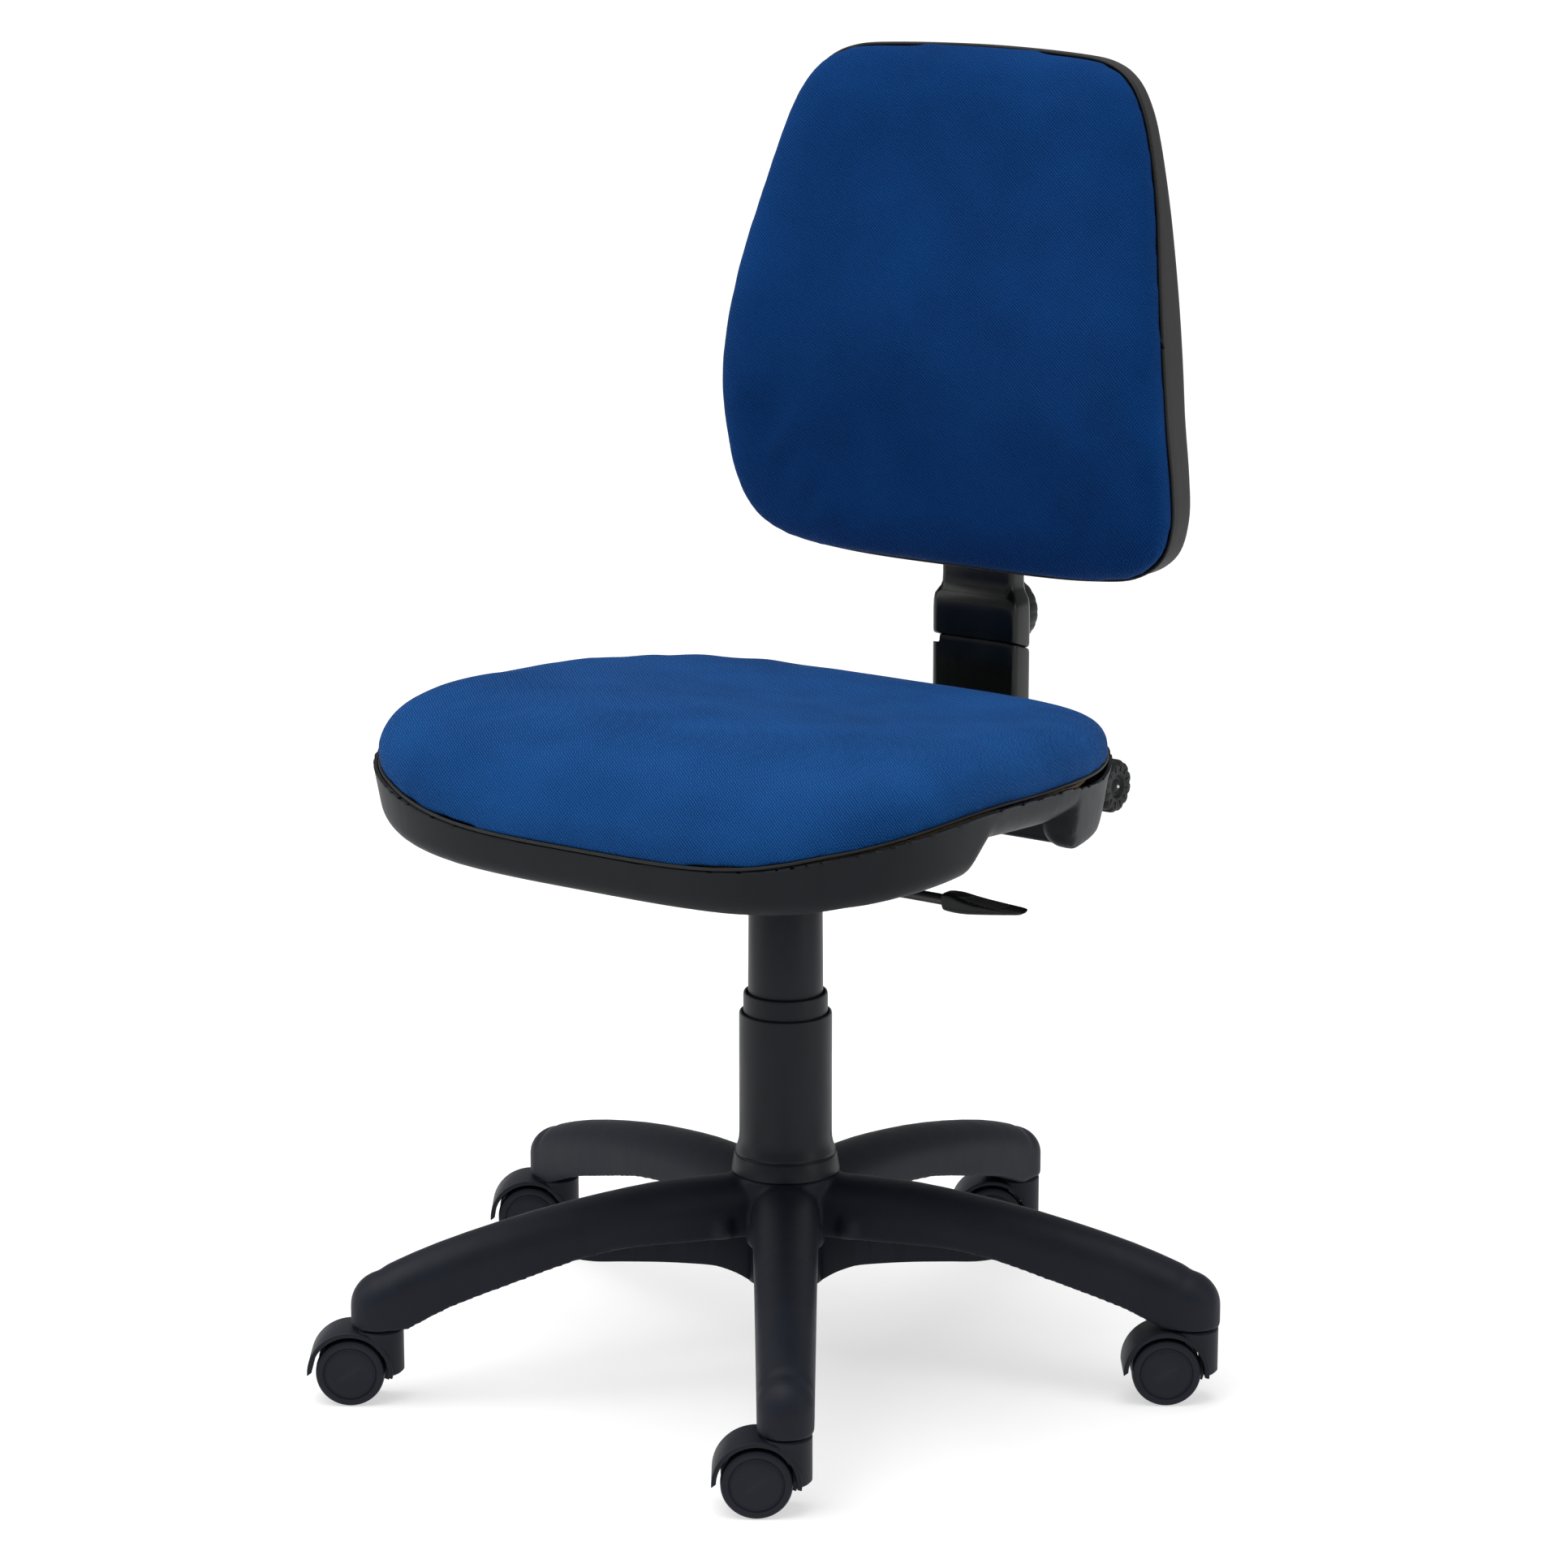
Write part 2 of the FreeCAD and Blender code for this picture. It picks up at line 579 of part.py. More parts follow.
def lever_paddle():
    """Curved flat grip: a neck round the rod that spreads into a thin dished blade."""
    z = LEVER_OUT_Z
    sections = []
    for x, half, low, high in ((139, 7.5, -7.0, 6.5), (150, 10.5, -7.5, 6.5), (165, 13.5, -8.5, 4.0),
                               (180, 14.0, -8.0, 0.5), (193, 12.0, -6.0, -1.5), (204, 8.5, -4.5, -2.0)):
        corners = [V(x, -half, z + low), V(x, half, z + low), V(x, half, z + high), V(x, -half, z + high)]
        sections.append(Part.makePolygon(corners + corners[:1]))
    blade = Part.makeLoft(sections, True, True)
    return blade.cut(cyl_x(LEVER_ROD_R, 130, 150, 0, z))


# ---------------------------------------------------------------- tilt pivot and its hand-wheel
def tilt_spindle():
    return cyl_x(SPINDLE_R, -44, 150, PIVOT_Y, PIVOT_Z)


def friction_washers():
    rings = []
    for x in (31.4, -CHEEK_X[0]):
        ring = cyl_x(13, x, x + CHEEK_X[0] - 31.4, PIVOT_Y, PIVOT_Z)
        rings.append(ring.cut(cyl_x(SPINDLE_R, -60, 60, PIVOT_Y, PIVOT_Z)))
    return Part.makeCompound(rings)


def tilt_spring():
    """Round-wire torsion spring with two straight legs, coiled loosely round the spindle."""
    wire_r, coil_r, pitch, turns = 1.25, 8.5, 3.4, 6
    helix = Part.makeHelix(pitch, pitch * turns, coil_r)
    start = V(coil_r, 0, 0)
    section = Part.Wire([Part.Circle(start, V(0, 1, pitch / (2 * math.pi * coil_r)), wire_r).toShape()])
    coil = Part.Wire(helix.Edges).makePipeShell([section], True, True)
    coil.rotate(V(0, 0, 0), V(0, 1, 0), 90)
    coil.translate(V(-pitch * turns / 2, PIVOT_Y, PIVOT_Z))
    return coil


def tilt_handwheel():
    face = HANDWHEEL_FACE_X
    wheel = cyl_x(HANDWHEEL_R, face - 19, face, PIVOT_Y, PIVOT_Z)
    rims = [e for e in wheel.Edges if e.BoundBox.XMin > face - 1 and e.BoundBox.XLength < 1]
    wheel = wheel.makeFillet(2.5, rims)
    for i in range(12):
        angle = math.radians(30 * i)
        y = PIVOT_Y + (HANDWHEEL_R + 2.2) * math.cos(angle)
        z = PIVOT_Z + (HANDWHEEL_R + 2.2) * math.sin(angle)
        wheel = wheel.cut(cyl_x(3.0, face - 25, face + 5, y, z))
    wheel = wheel.fuse(cyl_x(10, face - 35, face - 18, PIVOT_Y, PIVOT_Z))
    wheel = wheel.cut(cyl_x(SPINDLE_R + RUNNING_GAP, 100, 150.3, PIVOT_Y, PIVOT_Z))
    return wheel.cut(Part.makeSphere(7, V(face + 5, PIVOT_Y, PIVOT_Z)))


# ---------------------------------------------------------------- back bar and covers
def back_yoke():
    plate = box((-31, 31), (251, 254), (401, 466))
    yoke = plate
    for x in (28, -31):
        ear = box((x, x + 3), (PIVOT_Y, 254), (PIVOT_Z - 13, PIVOT_Z + 13))
        tip = cyl_x(13, x, x + 3, PIVOT_Y, PIVOT_Z)
        yoke = yoke.fuse([ear, tip])
    return yoke.cut(cyl_x(SPINDLE_R + RUNNING_GAP, -60, 60, PIVOT_Y, PIVOT_Z)).removeSplitter()


def back_bar():
    return box((-BAR_HALF, BAR_HALF), BAR_Y, (403, 660))


def cover_block(half, low_front, low_rear, high_front, high_rear, inset):
    """Rounded rectangular sleeve whose ends slope from front to rear."""
    y0, y1 = COVER_Y[0] + inset, COVER_Y[1] - inset
    side = [V(0, y0, low_front), V(0, y1, low_rear), V(0, y1, high_rear), V(0, y0, high_front)]
    block = Part.Face(Part.makePolygon(side + side[:1])).extrude(V(2 * (half - inset), 0, 0))
    block.translate(V(inset - half, 0, 0))
    uprights = [e for e in block.Edges if e.BoundBox.ZLength > 20]
    return block.makeFillet(5.0 - inset, uprights)


def bar_cover_lower():
    """Its top follows the upper cover's foot, with a notch at each corner."""
    top_front, top_rear = 500 - COVER_GAP, 492 - COVER_GAP
    outer = cover_block(COVER_HALF, 396, 402, top_front, top_rear, 0.0)
    inner = cover_block(COVER_HALF, 399, 405, 510, 510, COVER_WALL)
    cover = outer.cut(inner).cut(box((-33, 33), (240, 252), (390, 433)))
    notch = Part.makePolygon([V(28, 240, 496.5), V(28, 275, 484.3), V(28, 275, 505), V(28, 240, 505),
                              V(28, 240, 496.5)])
    notch = Part.Face(notch).extrude(V(10, 0, 0))
    return cover.cut(notch).cut(notch.mirror(V(0, 0, 0), V(1, 0, 0)))


def bar_cover_upper():
    wide = cover_block(COVER_HALF, 500, 492, 536, 536, 0.0)
    neck = cover_block(COVER_NECK_HALF, 530, 530, 596, 596, 0.0)
    inner = cover_block(COVER_NECK_HALF, 480, 480, 610, 610, COVER_WALL)
    cover = wide.fuse(neck).cut(inner)
    return cover.cut(cyl_y(4.6, 262, 275, 0, KNOB_Z)).removeSplitter()


def back_bracket():
    """Steel slide that runs on the bar, with the plate that carries the backrest."""
    gap, wall = 0.08, 2.5
    inner_x = BAR_HALF + gap
    y0, y1 = BAR_Y[0] - gap, BAR_Y[1] + gap
    outer = box((-inner_x - wall, inner_x + wall), (y0 - wall, y1 + wall), (503, 712))
    plate = box((-52, 52), (y0 - wall - 3, y0 - wall), (612, 706))
    slide = outer.fuse(plate).cut(box((-inner_x, inner_x), (y0, y1), (490, 730)))
    slide = slide.cut(cyl_y(4.05, 255, 270, 0, KNOB_Z))
    for x, z in back_screw_positions():
        slide = slide.cut(cyl_y(3.2, 240, 255, x, z))
    return slide.removeSplitter()


def back_screw_positions():
    return [(x, z) for x in (-40.0, 40.0) for z in (626.0, 692.0)]


def back_screws():
    screws = []
    for x, z in back_screw_positions():
        screws.append(cyl_y(3.0, 236, 251.4, x, z).fuse(cyl_y(5.5, 251.42, 255, x, z)))
    return Part.makeCompound(screws)


def height_knob_stud():
    return cyl_y(4.0, BAR_Y[1] + 0.02, 288, 0, KNOB_Z)


def height_knob():
    knob = cyl_y(KNOB_R, 284, 300, 0, KNOB_Z)
    for i in range(8):
        angle = math.radians(45 * i + 22.5)
        x = (KNOB_R + 4.5) * math.cos(angle)
        z = KNOB_Z + (KNOB_R + 4.5) * math.sin(angle)
        knob = knob.cut(cyl_y(7.0, 270, 305, x, z))
    knob = knob.fuse(cyl_y(11, 274, 286, 0, KNOB_Z))
    return knob.cut(cyl_y(4.0, 260, 288, 0, KNOB_Z))


# ---------------------------------------------------------------- backrest
def back_outline_prism(inset):
    """The backrest's front outline, drawn in by inset, as a prism along Y."""
    middle = BACK_MIDDLE_Z
    half_w, half_h = BACK_HALF_SIZE
    right = []
    for x, z in BACK_OUTLINE:
        right.append((x * (1 - inset / half_w), middle + (z - middle) * (1 - inset / half_h)))
    points = [V(x, 150, z) for x, z in right]
    points += [V(-x, 150, z) for x, z in reversed(right[1:-1])]
    curve = Part.BSplineCurve()
    curve.interpolate(Points=points, PeriodicFlag=True)
    return Part.Face(Part.Wire([curve.toShape()])).extrude(V(0, 170, 0))


def back_panel(front_by, rear_by, rear_is_shell=False):
    """Curved sheet across the backrest: each level is two arcs, bowed towards the rear."""
    wires = []
    for z in (545, 600, 650, 700, 750, 800, 850, 900, 955):
        seam = between(BACK_SEAM_LINE, z)
        rear = between(BACK_REAR_LINE, z) if rear_is_shell else seam
        sag = between(BACK_REAR_SAG, z) if rear_is_shell else BACK_SEAM_SAG
        x = BACK_REACH_X
        front_arc = [V(-x, seam + front_by - BACK_SEAM_SAG * x * x, z), V(0, seam + front_by, z),
                     V(x, seam + front_by - BACK_SEAM_SAG * x * x, z)]
        rear_arc = [V(x, rear + rear_by - sag * x * x, z), V(0, rear + rear_by, z),
                    V(-x, rear + rear_by - sag * x * x, z)]
        edges = [Part.Arc(*front_arc).toShape(), Part.makeLine(front_arc[2], rear_arc[0])]
        edges += [Part.Arc(*rear_arc).toShape(), Part.makeLine(rear_arc[2], front_arc[0])]
        wires.append(Part.Wire(edges))
    return Part.makeLoft(wires, True)


def back_cushion():
    pad = back_outline_prism(0.0).common(back_panel(-BACK_CROWN, -0.5))
    rim = [e for e in pad.Edges if e.BoundBox.XLength > 300 and e.BoundBox.YMin < 195]
    return pad.makeFillet(BACK_RIM_ROUNDING, rim)


def back_board():
    board = back_outline_prism(14.0).common(back_panel(0.0, 8.0))
    for x, z in back_screw_positions():
        y_face = between(BACK_SEAM_LINE, z) + 2
        board = board.fuse(cyl_y(10, y_face, 248.4, x, z))
    for x, z in back_screw_positions():
        board = board.cut(cyl_y(3.0, 236, 260, x, z))
    return board.removeSplitter()


def back_shell():
    outer = back_outline_prism(1.0).common(back_panel(0.5, 0.0, True))
    inner = back_outline_prism(4.0).common(back_panel(-20.0, -3.0, True))
    shell = outer.cut(inner)
    return shell.cut(box((-33, 33), (243, 280), (540, 598)))


# ---------------------------------------------------------------- build every node
def build():
    os.makedirs("parts", exist_ok=True)
    save("five_star_base", five_star_base())
    save("lift_outer_tube", lift_outer_tube())
    save("lift_guide_bush", lift_guide_bush())
    save("thrust_bearing_washers", thrust_bearing_washers())
    save("thrust_bearing_balls", thrust_bearing_balls())
    save("piston_rod", piston_rod())
    save("rod_clip", rod_clip())
    save("gas_cylinder", gas_cylinder())
    save("release_button", release_button())
    save("column_sleeve_lower", column_sleeve_lower())
    save("column_sleeve_middle", column_sleeve_middle())
    save("column_sleeve_upper", column_sleeve_upper())
    save("caster_stems", caster_stem_set(caster_stem))
    save("caster_grip_rings", caster_stem_set(grip_ring))
    for number, x, y in stem_positions():
        save(f"caster_{number}_housing", placed(caster_housing(), x, y))
        save(f"caster_{number}_axle", placed(caster_axle(), x, y))
        save(f"caster_{number}_wheel_left", placed(caster_wheel(1), x, y))
        save(f"caster_{number}_wheel_right", placed(caster_wheel(-1), x, y))
    board = seat_board()
    save("seat_board", board)
    save("seat_cushion", seat_cushion(board))
    save("seat_shell", seat_shell())
    save("seat_screws", seat_screws())
    save("seat_tee_nuts", tee_nuts(board_pad_positions(), 452))
    save("armrest_tee_nuts", tee_nuts(armrest_hole_positions(), 452.5))
    save("mechanism_plate", mechanism_plate())
    save("cone_hub", cone_hub())
    save("lever_pin", lever_pin())
    save("lever_rod", lever_rod())
    save("lever_paddle", lever_paddle())
    save("tilt_spindle", tilt_spindle())
    save("friction_washers", friction_washers())
    save("tilt_spring", tilt_spring())
    save("tilt_handwheel", tilt_handwheel())
    save("back_yoke", back_yoke())
    save("back_bar", back_bar())
    save("bar_cover_lower", bar_cover_lower())
    save("bar_cover_upper", bar_cover_upper())
    save("back_bracket", back_bracket())
    save("back_screws", back_screws())
    save("height_knob", height_knob())
    save("height_knob_stud", height_knob_stud())
    save("back_board", back_board())
    save("back_shell", back_shell())
    save("back_cushion", back_cushion())


build()
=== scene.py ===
import bmesh
import bpy
import json
import math
from mathutils import Matrix, Vector


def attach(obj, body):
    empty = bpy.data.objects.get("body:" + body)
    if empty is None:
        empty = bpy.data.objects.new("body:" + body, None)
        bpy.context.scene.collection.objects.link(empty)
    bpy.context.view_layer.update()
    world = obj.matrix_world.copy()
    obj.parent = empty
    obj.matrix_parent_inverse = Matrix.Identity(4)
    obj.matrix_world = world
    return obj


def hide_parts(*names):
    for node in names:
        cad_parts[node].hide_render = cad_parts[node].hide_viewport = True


# Visual model of the swivel office chair. Lengths in this file are millimetres unless a name
# says otherwise; MM turns them into the frame's metres.
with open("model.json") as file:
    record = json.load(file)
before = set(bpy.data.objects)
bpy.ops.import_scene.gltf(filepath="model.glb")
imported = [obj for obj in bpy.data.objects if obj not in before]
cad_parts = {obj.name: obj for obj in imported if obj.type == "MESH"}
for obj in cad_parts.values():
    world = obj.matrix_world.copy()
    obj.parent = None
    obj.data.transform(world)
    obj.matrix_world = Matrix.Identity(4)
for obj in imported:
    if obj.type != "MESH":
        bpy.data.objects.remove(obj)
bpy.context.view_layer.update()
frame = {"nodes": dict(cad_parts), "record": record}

MM = 0.001

# ---------------------------------------------------------------- driving dimensions
# five-star base
ARM_ANGLES = [math.radians(-55.0 + 72.0 * i) for i in range(5)]
STEM_CIRCLE_R = 309.5
SOCKET_R = 19.7
SOCKET_BOTTOM_Z = 57.0
ARM_ROOT_HALF = 25.0
ARM_TOP = [(0, 143), (60, 143.5), (102, 142), (160, 135), (202, 127.5), (250, 116.5), (285, 106),
           (332, 88)]
ARM_WALL_LOW = [(0, 101), (78, 101.5), (122, 102), (150, 99.5), (173, 95), (195, 89), (220, 82), (262, 70),
                (292, 57)]
ARM_SPINE_LOW = [(27, 59), (32, 62.5), (38, 66.5), (47, 71), (56, 74.5), (80, 79), (100, 82), (125, 85),
                 (150, 88), (178, 96)]
SPINE_HALF = 1.4
SPINE_TOP_Z = 128
ARM_NOSE_R = 26.0
ARM_NOSE_TOP = 97.0
HUB_BOTTOM_Z = 58.0
BASE_WALL = 3.5
RIB_STATIONS = (52, 90, 145, 200, 250, 284)

# casters
CASTER_TRAIL_ANGLE = math.radians(215.0)
CASTER_TRAIL = 19.7
WHEEL_R = 25.0
HOOD_R = (27.6, 31.0)
HOOD_HALF_WIDTH = 18.4
STEM_BLOCK_R = 18.4
STEM_BLOCK_Z = (22.0, 56.0)
WEB_HALF = 3.3

# seat
SEAT_HALF_WIDTH = 235.0
SEAT_HALF_DEPTH = 220.0
SEAT_CENTRE_Y = -30.0
SEAT_TAPER = 0.08
SEAT_FRONT_POWER = 3.6
SEAT_REAR_POWER = 3.3
SEAM_LINE = [(-260, 429), (-220, 457), (-130, 471), (0, 464), (120, 460), (200, 471)]
CROWN_LINE = [(-260, 462), (-222, 490), (-140, 504), (-30, 503), (80, 494), (150, 486), (200, 477)]
SHELL_FLOOR = [(-260, 403), (-235, 411), (-212, 419), (-179, 424), (-121, 429), (-99, 451), (-10, 442),
               (200, 442)]
SHELL_DRAFT = 0.15
SHELL_DRAFT_FROM_Z = 465
SHELL_BOTTOM_EDGE = 11.0
SHELL_RIM_TRIM = 0.8
SHELL_WALL = 2.8
REAR_BLOCK_BOTTOM_Z = 412.0
POD_X = (195.0, 275.0)
POD_Y = (32.0, 103.0)
CROSS_BLOCK_HALF = 200.0
TUB_HALF = 110.0
TUB_Y = (48.0, 187.0)
SEAT_EDGE_ROUNDING = 30.0
SEAT_DISH = 7.0
SEAT_DISH_HALF = (140, 90)
SEAT_DISH_Y = 25
SEAT_DISH_FADE = 90.0
SHELL_EDGE_DIP = [(-260, 1), (10, 1), (45, 4.5), (80, 5.5), (120, 2.5), (200, 1)]

# backrest
BACK_OUTLINE = [(0, 556), (70, 556.5), (118, 559.5), (155, 566), (181, 583), (193, 610), (196, 643),
                (196, 675), (193, 715), (187, 757), (179, 800), (169, 846), (158, 886), (148, 911),
                (134, 930), (113, 941), (80, 945), (0, 947)]
BACK_MIDDLE_Z = 752.0
BACK_HALF = (194.0, 195.0)
BACK_SEAM_LINE = [(550, 236), (600, 236), (640, 232), (680, 226), (720, 225), (780, 231), (850, 245),
                  (950, 258)]
BACK_REAR_LINE = [(550, 271), (620, 272), (720, 272), (850, 269), (950, 275)]
BACK_SEAM_SAG = [(550, 3e-4), (620, 5e-4), (690, 5.9e-4), (950, 5.9e-4)]
BACK_REAR_SAG = [(550, 5e-4), (620, 7.5e-4), (700, 10.5e-4), (850, 7e-4), (950, 6e-4)]
BACK_CROWN = 26.0
BACK_EDGE_ROUNDING = 36.0

# both cushions
PAD_STEP = 2.5
PAD_EDGE_POWER = 2.5
CLOTH_FRAMES = 20
CLOTH_PRESSURE = 2.0
SEAT_SWELL = 1.4
BACK_SWELL = 2.0
SEAT_VOXEL = 6.0
BACK_VOXEL = 5.5

# back bar covers, knob and hand-wheel
COVER = (38, 246, 273.5, 7)  # half width, front, rear and corner radius
PIVOT = (205.0, 414.0)
HANDWHEEL_R = 20.0
HANDWHEEL_FACE_X = 157.0
KNOB_Z = 514.0
KNOB_R = 27.0  # 5 mm more than the CAD node it stands for
LEVER_Z = 370.0

# floor of the studio
FLOOR_HALF = 9e4


# ---------------------------------------------------------------- mesh helpers
def smooth_value(table, at):
    """Value of a (position, value) table on a smooth curve through its points."""
    if at <= table[0][0]:
        return table[0][1]
    if at >= table[-1][0]:
        return table[-1][1]
    i = next(k for k in range(len(table) - 1) if at <= table[k + 1][0])

    def slope(k):
        low, high = table[max(k - 1, 0)], table[min(k + 1, len(table) - 1)]
        return (high[1] - low[1]) / (high[0] - low[0])

    (x0, y0), (x1, y1) = table[i], table[i + 1]
    span = x1 - x0
    t = (at - x0) / span
    rise = y1 - y0
    return (y0 + span * slope(i) * t * (1 - t) ** 2 + rise * t * t * (3 - 2 * t)
            - span * slope(i + 1) * t * t * (1 - t))


def straight_value(table, at):
    """Straight-line value of a (position, value) table."""
    for (x0, y0), (x1, y1) in zip(table, table[1:]):
        if at <= x1:
            return y0 + (y1 - y0) * max(at - x0, 0) / (x1 - x0)
    return table[-1][1]


def add_object(name, points, faces):
    """A new object from points in millimetres, with doubles merged and normals outward."""
    mesh = bpy.data.meshes.new(name)
    mesh.from_pydata([Vector(p) * MM for p in points], [], faces)
    work = bmesh.new()
    work.from_mesh(mesh)
    bmesh.ops.remove_doubles(work, verts=work.verts, dist=1e-6)
    bmesh.ops.recalc_face_normals(work, faces=work.faces)
    work.to_mesh(mesh)
    work.free()
    piece = bpy.data.objects.new(name, mesh)
    bpy.context.scene.collection.objects.link(piece)
    return piece


def loft(name, rings, closed=False):
    """A skin over equal rings of points. The ends are capped, or the last ring meets the first."""
    count = len(rings[0])
    points = [p for ring in rings for p in ring]
    faces = []
    for k in range(len(rings) if closed else len(rings) - 1):
        a, b = k * count, (k + 1) % len(rings) * count
        for i in range(count):
            j = (i + 1) % count
            faces.append((a + i, a + j, b + j, b + i))
    if not closed:
        faces.append(tuple(range(count - 1, -1, -1)))
        faces.append(tuple(range(len(points) - count, len(points))))
    return add_object(name, points, faces)


AXES = {"x": (Vector((0, 1, 0)), Vector((0, 0, 1)), Vector((1, 0, 0))),
        "y": (Vector((0, 0, 1)), Vector((1, 0, 0)), Vector((0, 1, 0))),
        "z": (Vector((1, 0, 0)), Vector((0, 1, 0)), Vector((0, 0, 1)))}


def turned(name, profile, axis="z", centre=(0, 0, 0), segments=96, closed=False, shape=None):
    """A turned piece from (radius, position) pairs. shape(radius, angle) may flute the radius."""
    u, v, w = AXES[axis]
    rings = []
    for radius, along in profile:
        ring = []
        for i in range(segments):
            angle = 2 * math.pi * i / segments
            r = shape(radius, angle) if shape else radius
            ring.append(Vector(centre) + u * r * math.cos(angle) + v * r * math.sin(angle) + w * along)
        rings.append(ring)
    return loft(name, rings, closed)


def extruded(name, outline, axis, low, high):
    """A straight prism from a 2-D outline. The outline's plane is across the axis."""
    u, v, w = AXES[axis]
    rings = [[u * a + v * b + w * level for a, b in outline] for level in (low, high)]
    return loft(name, rings)


def block(name, x, y, z, edge=0.0, segments=3):
    """A box between two corners, with its edges rounded by edge."""
    corners = [(x[i], y[j], z[k]) for i in (0, 1) for j in (0, 1) for k in (0, 1)]
    faces = [(0, 1, 3, 2), (4, 6, 7, 5), (0, 4, 5, 1), (2, 3, 7, 6), (0, 2, 6, 4), (1, 5, 7, 3)]
    piece = add_object(name, corners, faces)
    if edge:
        bevelled(piece, edge, segments)
    return piece


def apply_modifiers(piece):
    """Gives a piece the mesh that its modifiers make, and drops the modifiers."""
    bpy.context.view_layer.update()
    graph = bpy.context.evaluated_depsgraph_get()
    mesh = bpy.data.meshes.new_from_object(piece.evaluated_get(graph))
    piece.modifiers.clear()
    piece.data = mesh
    return piece


def bevelled(piece, width, segments=2, angle=30.0):
    bevel = piece.modifiers.new("bevel", "BEVEL")
    bevel.width = width * MM
    bevel.segments = segments
    bevel.limit_method = "ANGLE"
    bevel.angle_limit = math.radians(angle)
    bevel.use_clamp_overlap = True
    return apply_modifiers(piece)


def drop(piece):
    bpy.data.objects.remove(piece)


def combined(piece, tools, operation):
    """Cuts, joins or intersects a piece with the tools, which are used up."""
    for tool in tools:
        change = piece.modifiers.new("combine", "BOOLEAN")
        change.operation = operation
        change.solver = "MANIFOLD"
        change.object = tool
        apply_modifiers(piece)
        drop(tool)
    return piece


def gathered(name, pieces):
    """One object that holds the meshes of several, which are used up."""
    work = bmesh.new()
    for piece in pieces:
        work.from_mesh(piece.data)
        drop(piece)
    mesh = bpy.data.meshes.new(name)
    work.to_mesh(mesh)
    work.free()
    whole = bpy.data.objects.new(name, mesh)
    bpy.context.scene.collection.objects.link(whole)
    return whole


def melted(name, pieces, voxel, rounds):
    """Overlapping closed meshes run together into one skin, with every edge faired."""
    whole = gathered(name, pieces)
    remesh = whole.modifiers.new("remesh", "REMESH")
    remesh.mode = "VOXEL"
    remesh.voxel_size = voxel * MM
    fair = whole.modifiers.new("fair", "SMOOTH")
    fair.factor = 0.5
    fair.iterations = rounds
    return apply_modifiers(whole)


def shaded(piece, angle=38.0):
    """Smooth shading that stays crisp at edges sharper than the angle."""
    piece.data.shade_smooth()
    piece.data.set_sharp_from_angle(angle=math.radians(angle))
    return piece


def tube_round(name, path, radius, sides=12):
    """A round strip along a closed path of points."""
    rings = []
    count = len(path)
    for i, point in enumerate(path):
        along = (Vector(path[(i + 1) % count]) - Vector(path[i - 1])).normalized()
        side = along.cross(Vector((0, 0, 1)))
        if side.length < 0.2:
            side = along.cross(Vector((0, 1, 0)))
        side.normalize()
        up = side.cross(along)
        ring = []
        for k in range(sides):
            angle = 2 * math.pi * k / sides
            ring.append(Vector(point) + side * radius * math.cos(angle) + up * radius * math.sin(angle))
        rings.append(ring)
    return loft(name, rings, closed=True)


# ---------------------------------------------------------------- materials
class Recipe:
    """A material being made: each call adds a node and gives back its output."""

    def __init__(self, name, roughness_base, specular=0.5):
        self.material = bpy.data.materials.new(name)
        self.material.use_nodes = True
        self.tree = self.material.node_tree
        self.tree.nodes.clear()
        self.shader = self.tree.nodes.new("ShaderNodeBsdfPrincipled")
        surface = self.tree.nodes.new("ShaderNodeOutputMaterial")
        self.tree.links.new(self.shader.outputs[0], surface.inputs[0])
        self.place = self.tree.nodes.new("ShaderNodeTexCoord").outputs["Object"]
        self.shader.inputs["Roughness"].default_value = roughness_base
        self.shader.inputs["Specular IOR Level"].default_value = specular

    def feed(self, socket, value):
        if isinstance(value, bpy.types.NodeSocket):
            self.tree.links.new(value, socket)
        else:
            socket.default_value = value

    def add(self, kind, inputs, output=0, **settings):
        node = self.tree.nodes.new(kind)
        for key, value in settings.items():
            setattr(node, key, value)
        for key, value in inputs.items():
            self.feed(node.inputs[key], value)
        return node.outputs[output]

    def math(self, operation, a, b=0.0):
        return self.add("ShaderNodeMath", {0: a, 1: b}, operation=operation)

    def noise(self, per_metre, detail=2.0, stretch=(1, 1, 1)):
        spot = self.add("ShaderNodeVectorMath", {0: self.place, 1: stretch}, operation="MULTIPLY")
        return self.add("ShaderNodeTexNoise", {"Vector": spot, "Scale": per_metre, "Detail": detail})

    def ramp(self, value, low, high, to_low=0.0, to_high=1.0):
        inputs = {"Value": value, "From Min": low, "From Max": high, "To Min": to_low, "To Max": to_high}
        return self.add("ShaderNodeMapRange", inputs)

    def blend(self, factor, a, b, how="MIX"):
        return self.add("ShaderNodeMix", {0: factor, 6: a, 7: b}, output=2, data_type="RGBA", blend_type=how)

    def bump(self, height, depth_mm, strength=1.0):
        inputs = {"Height": height, "Strength": strength, "Distance": depth_mm * MM}
        self.feed(self.shader.inputs["Normal"], self.add("ShaderNodeBump", inputs))

    def worn_edges(self):
        """1 on sharp outer edges, 0 on flat and hollow places."""
        point = self.add("ShaderNodeNewGeometry", {}, output="Pointiness")
        return self.ramp(point, 0.52, 0.62)


def rgb(colour, factor=1.0):
    """A Blender colour from 0-255 sRGB values."""
    linear = [((c / 255 + 0.055) / 1.055) ** 2.4 if c > 10 else c / 255 / 12.92 for c in colour]
    return tuple(c * factor for c in linear) + (1.0,)


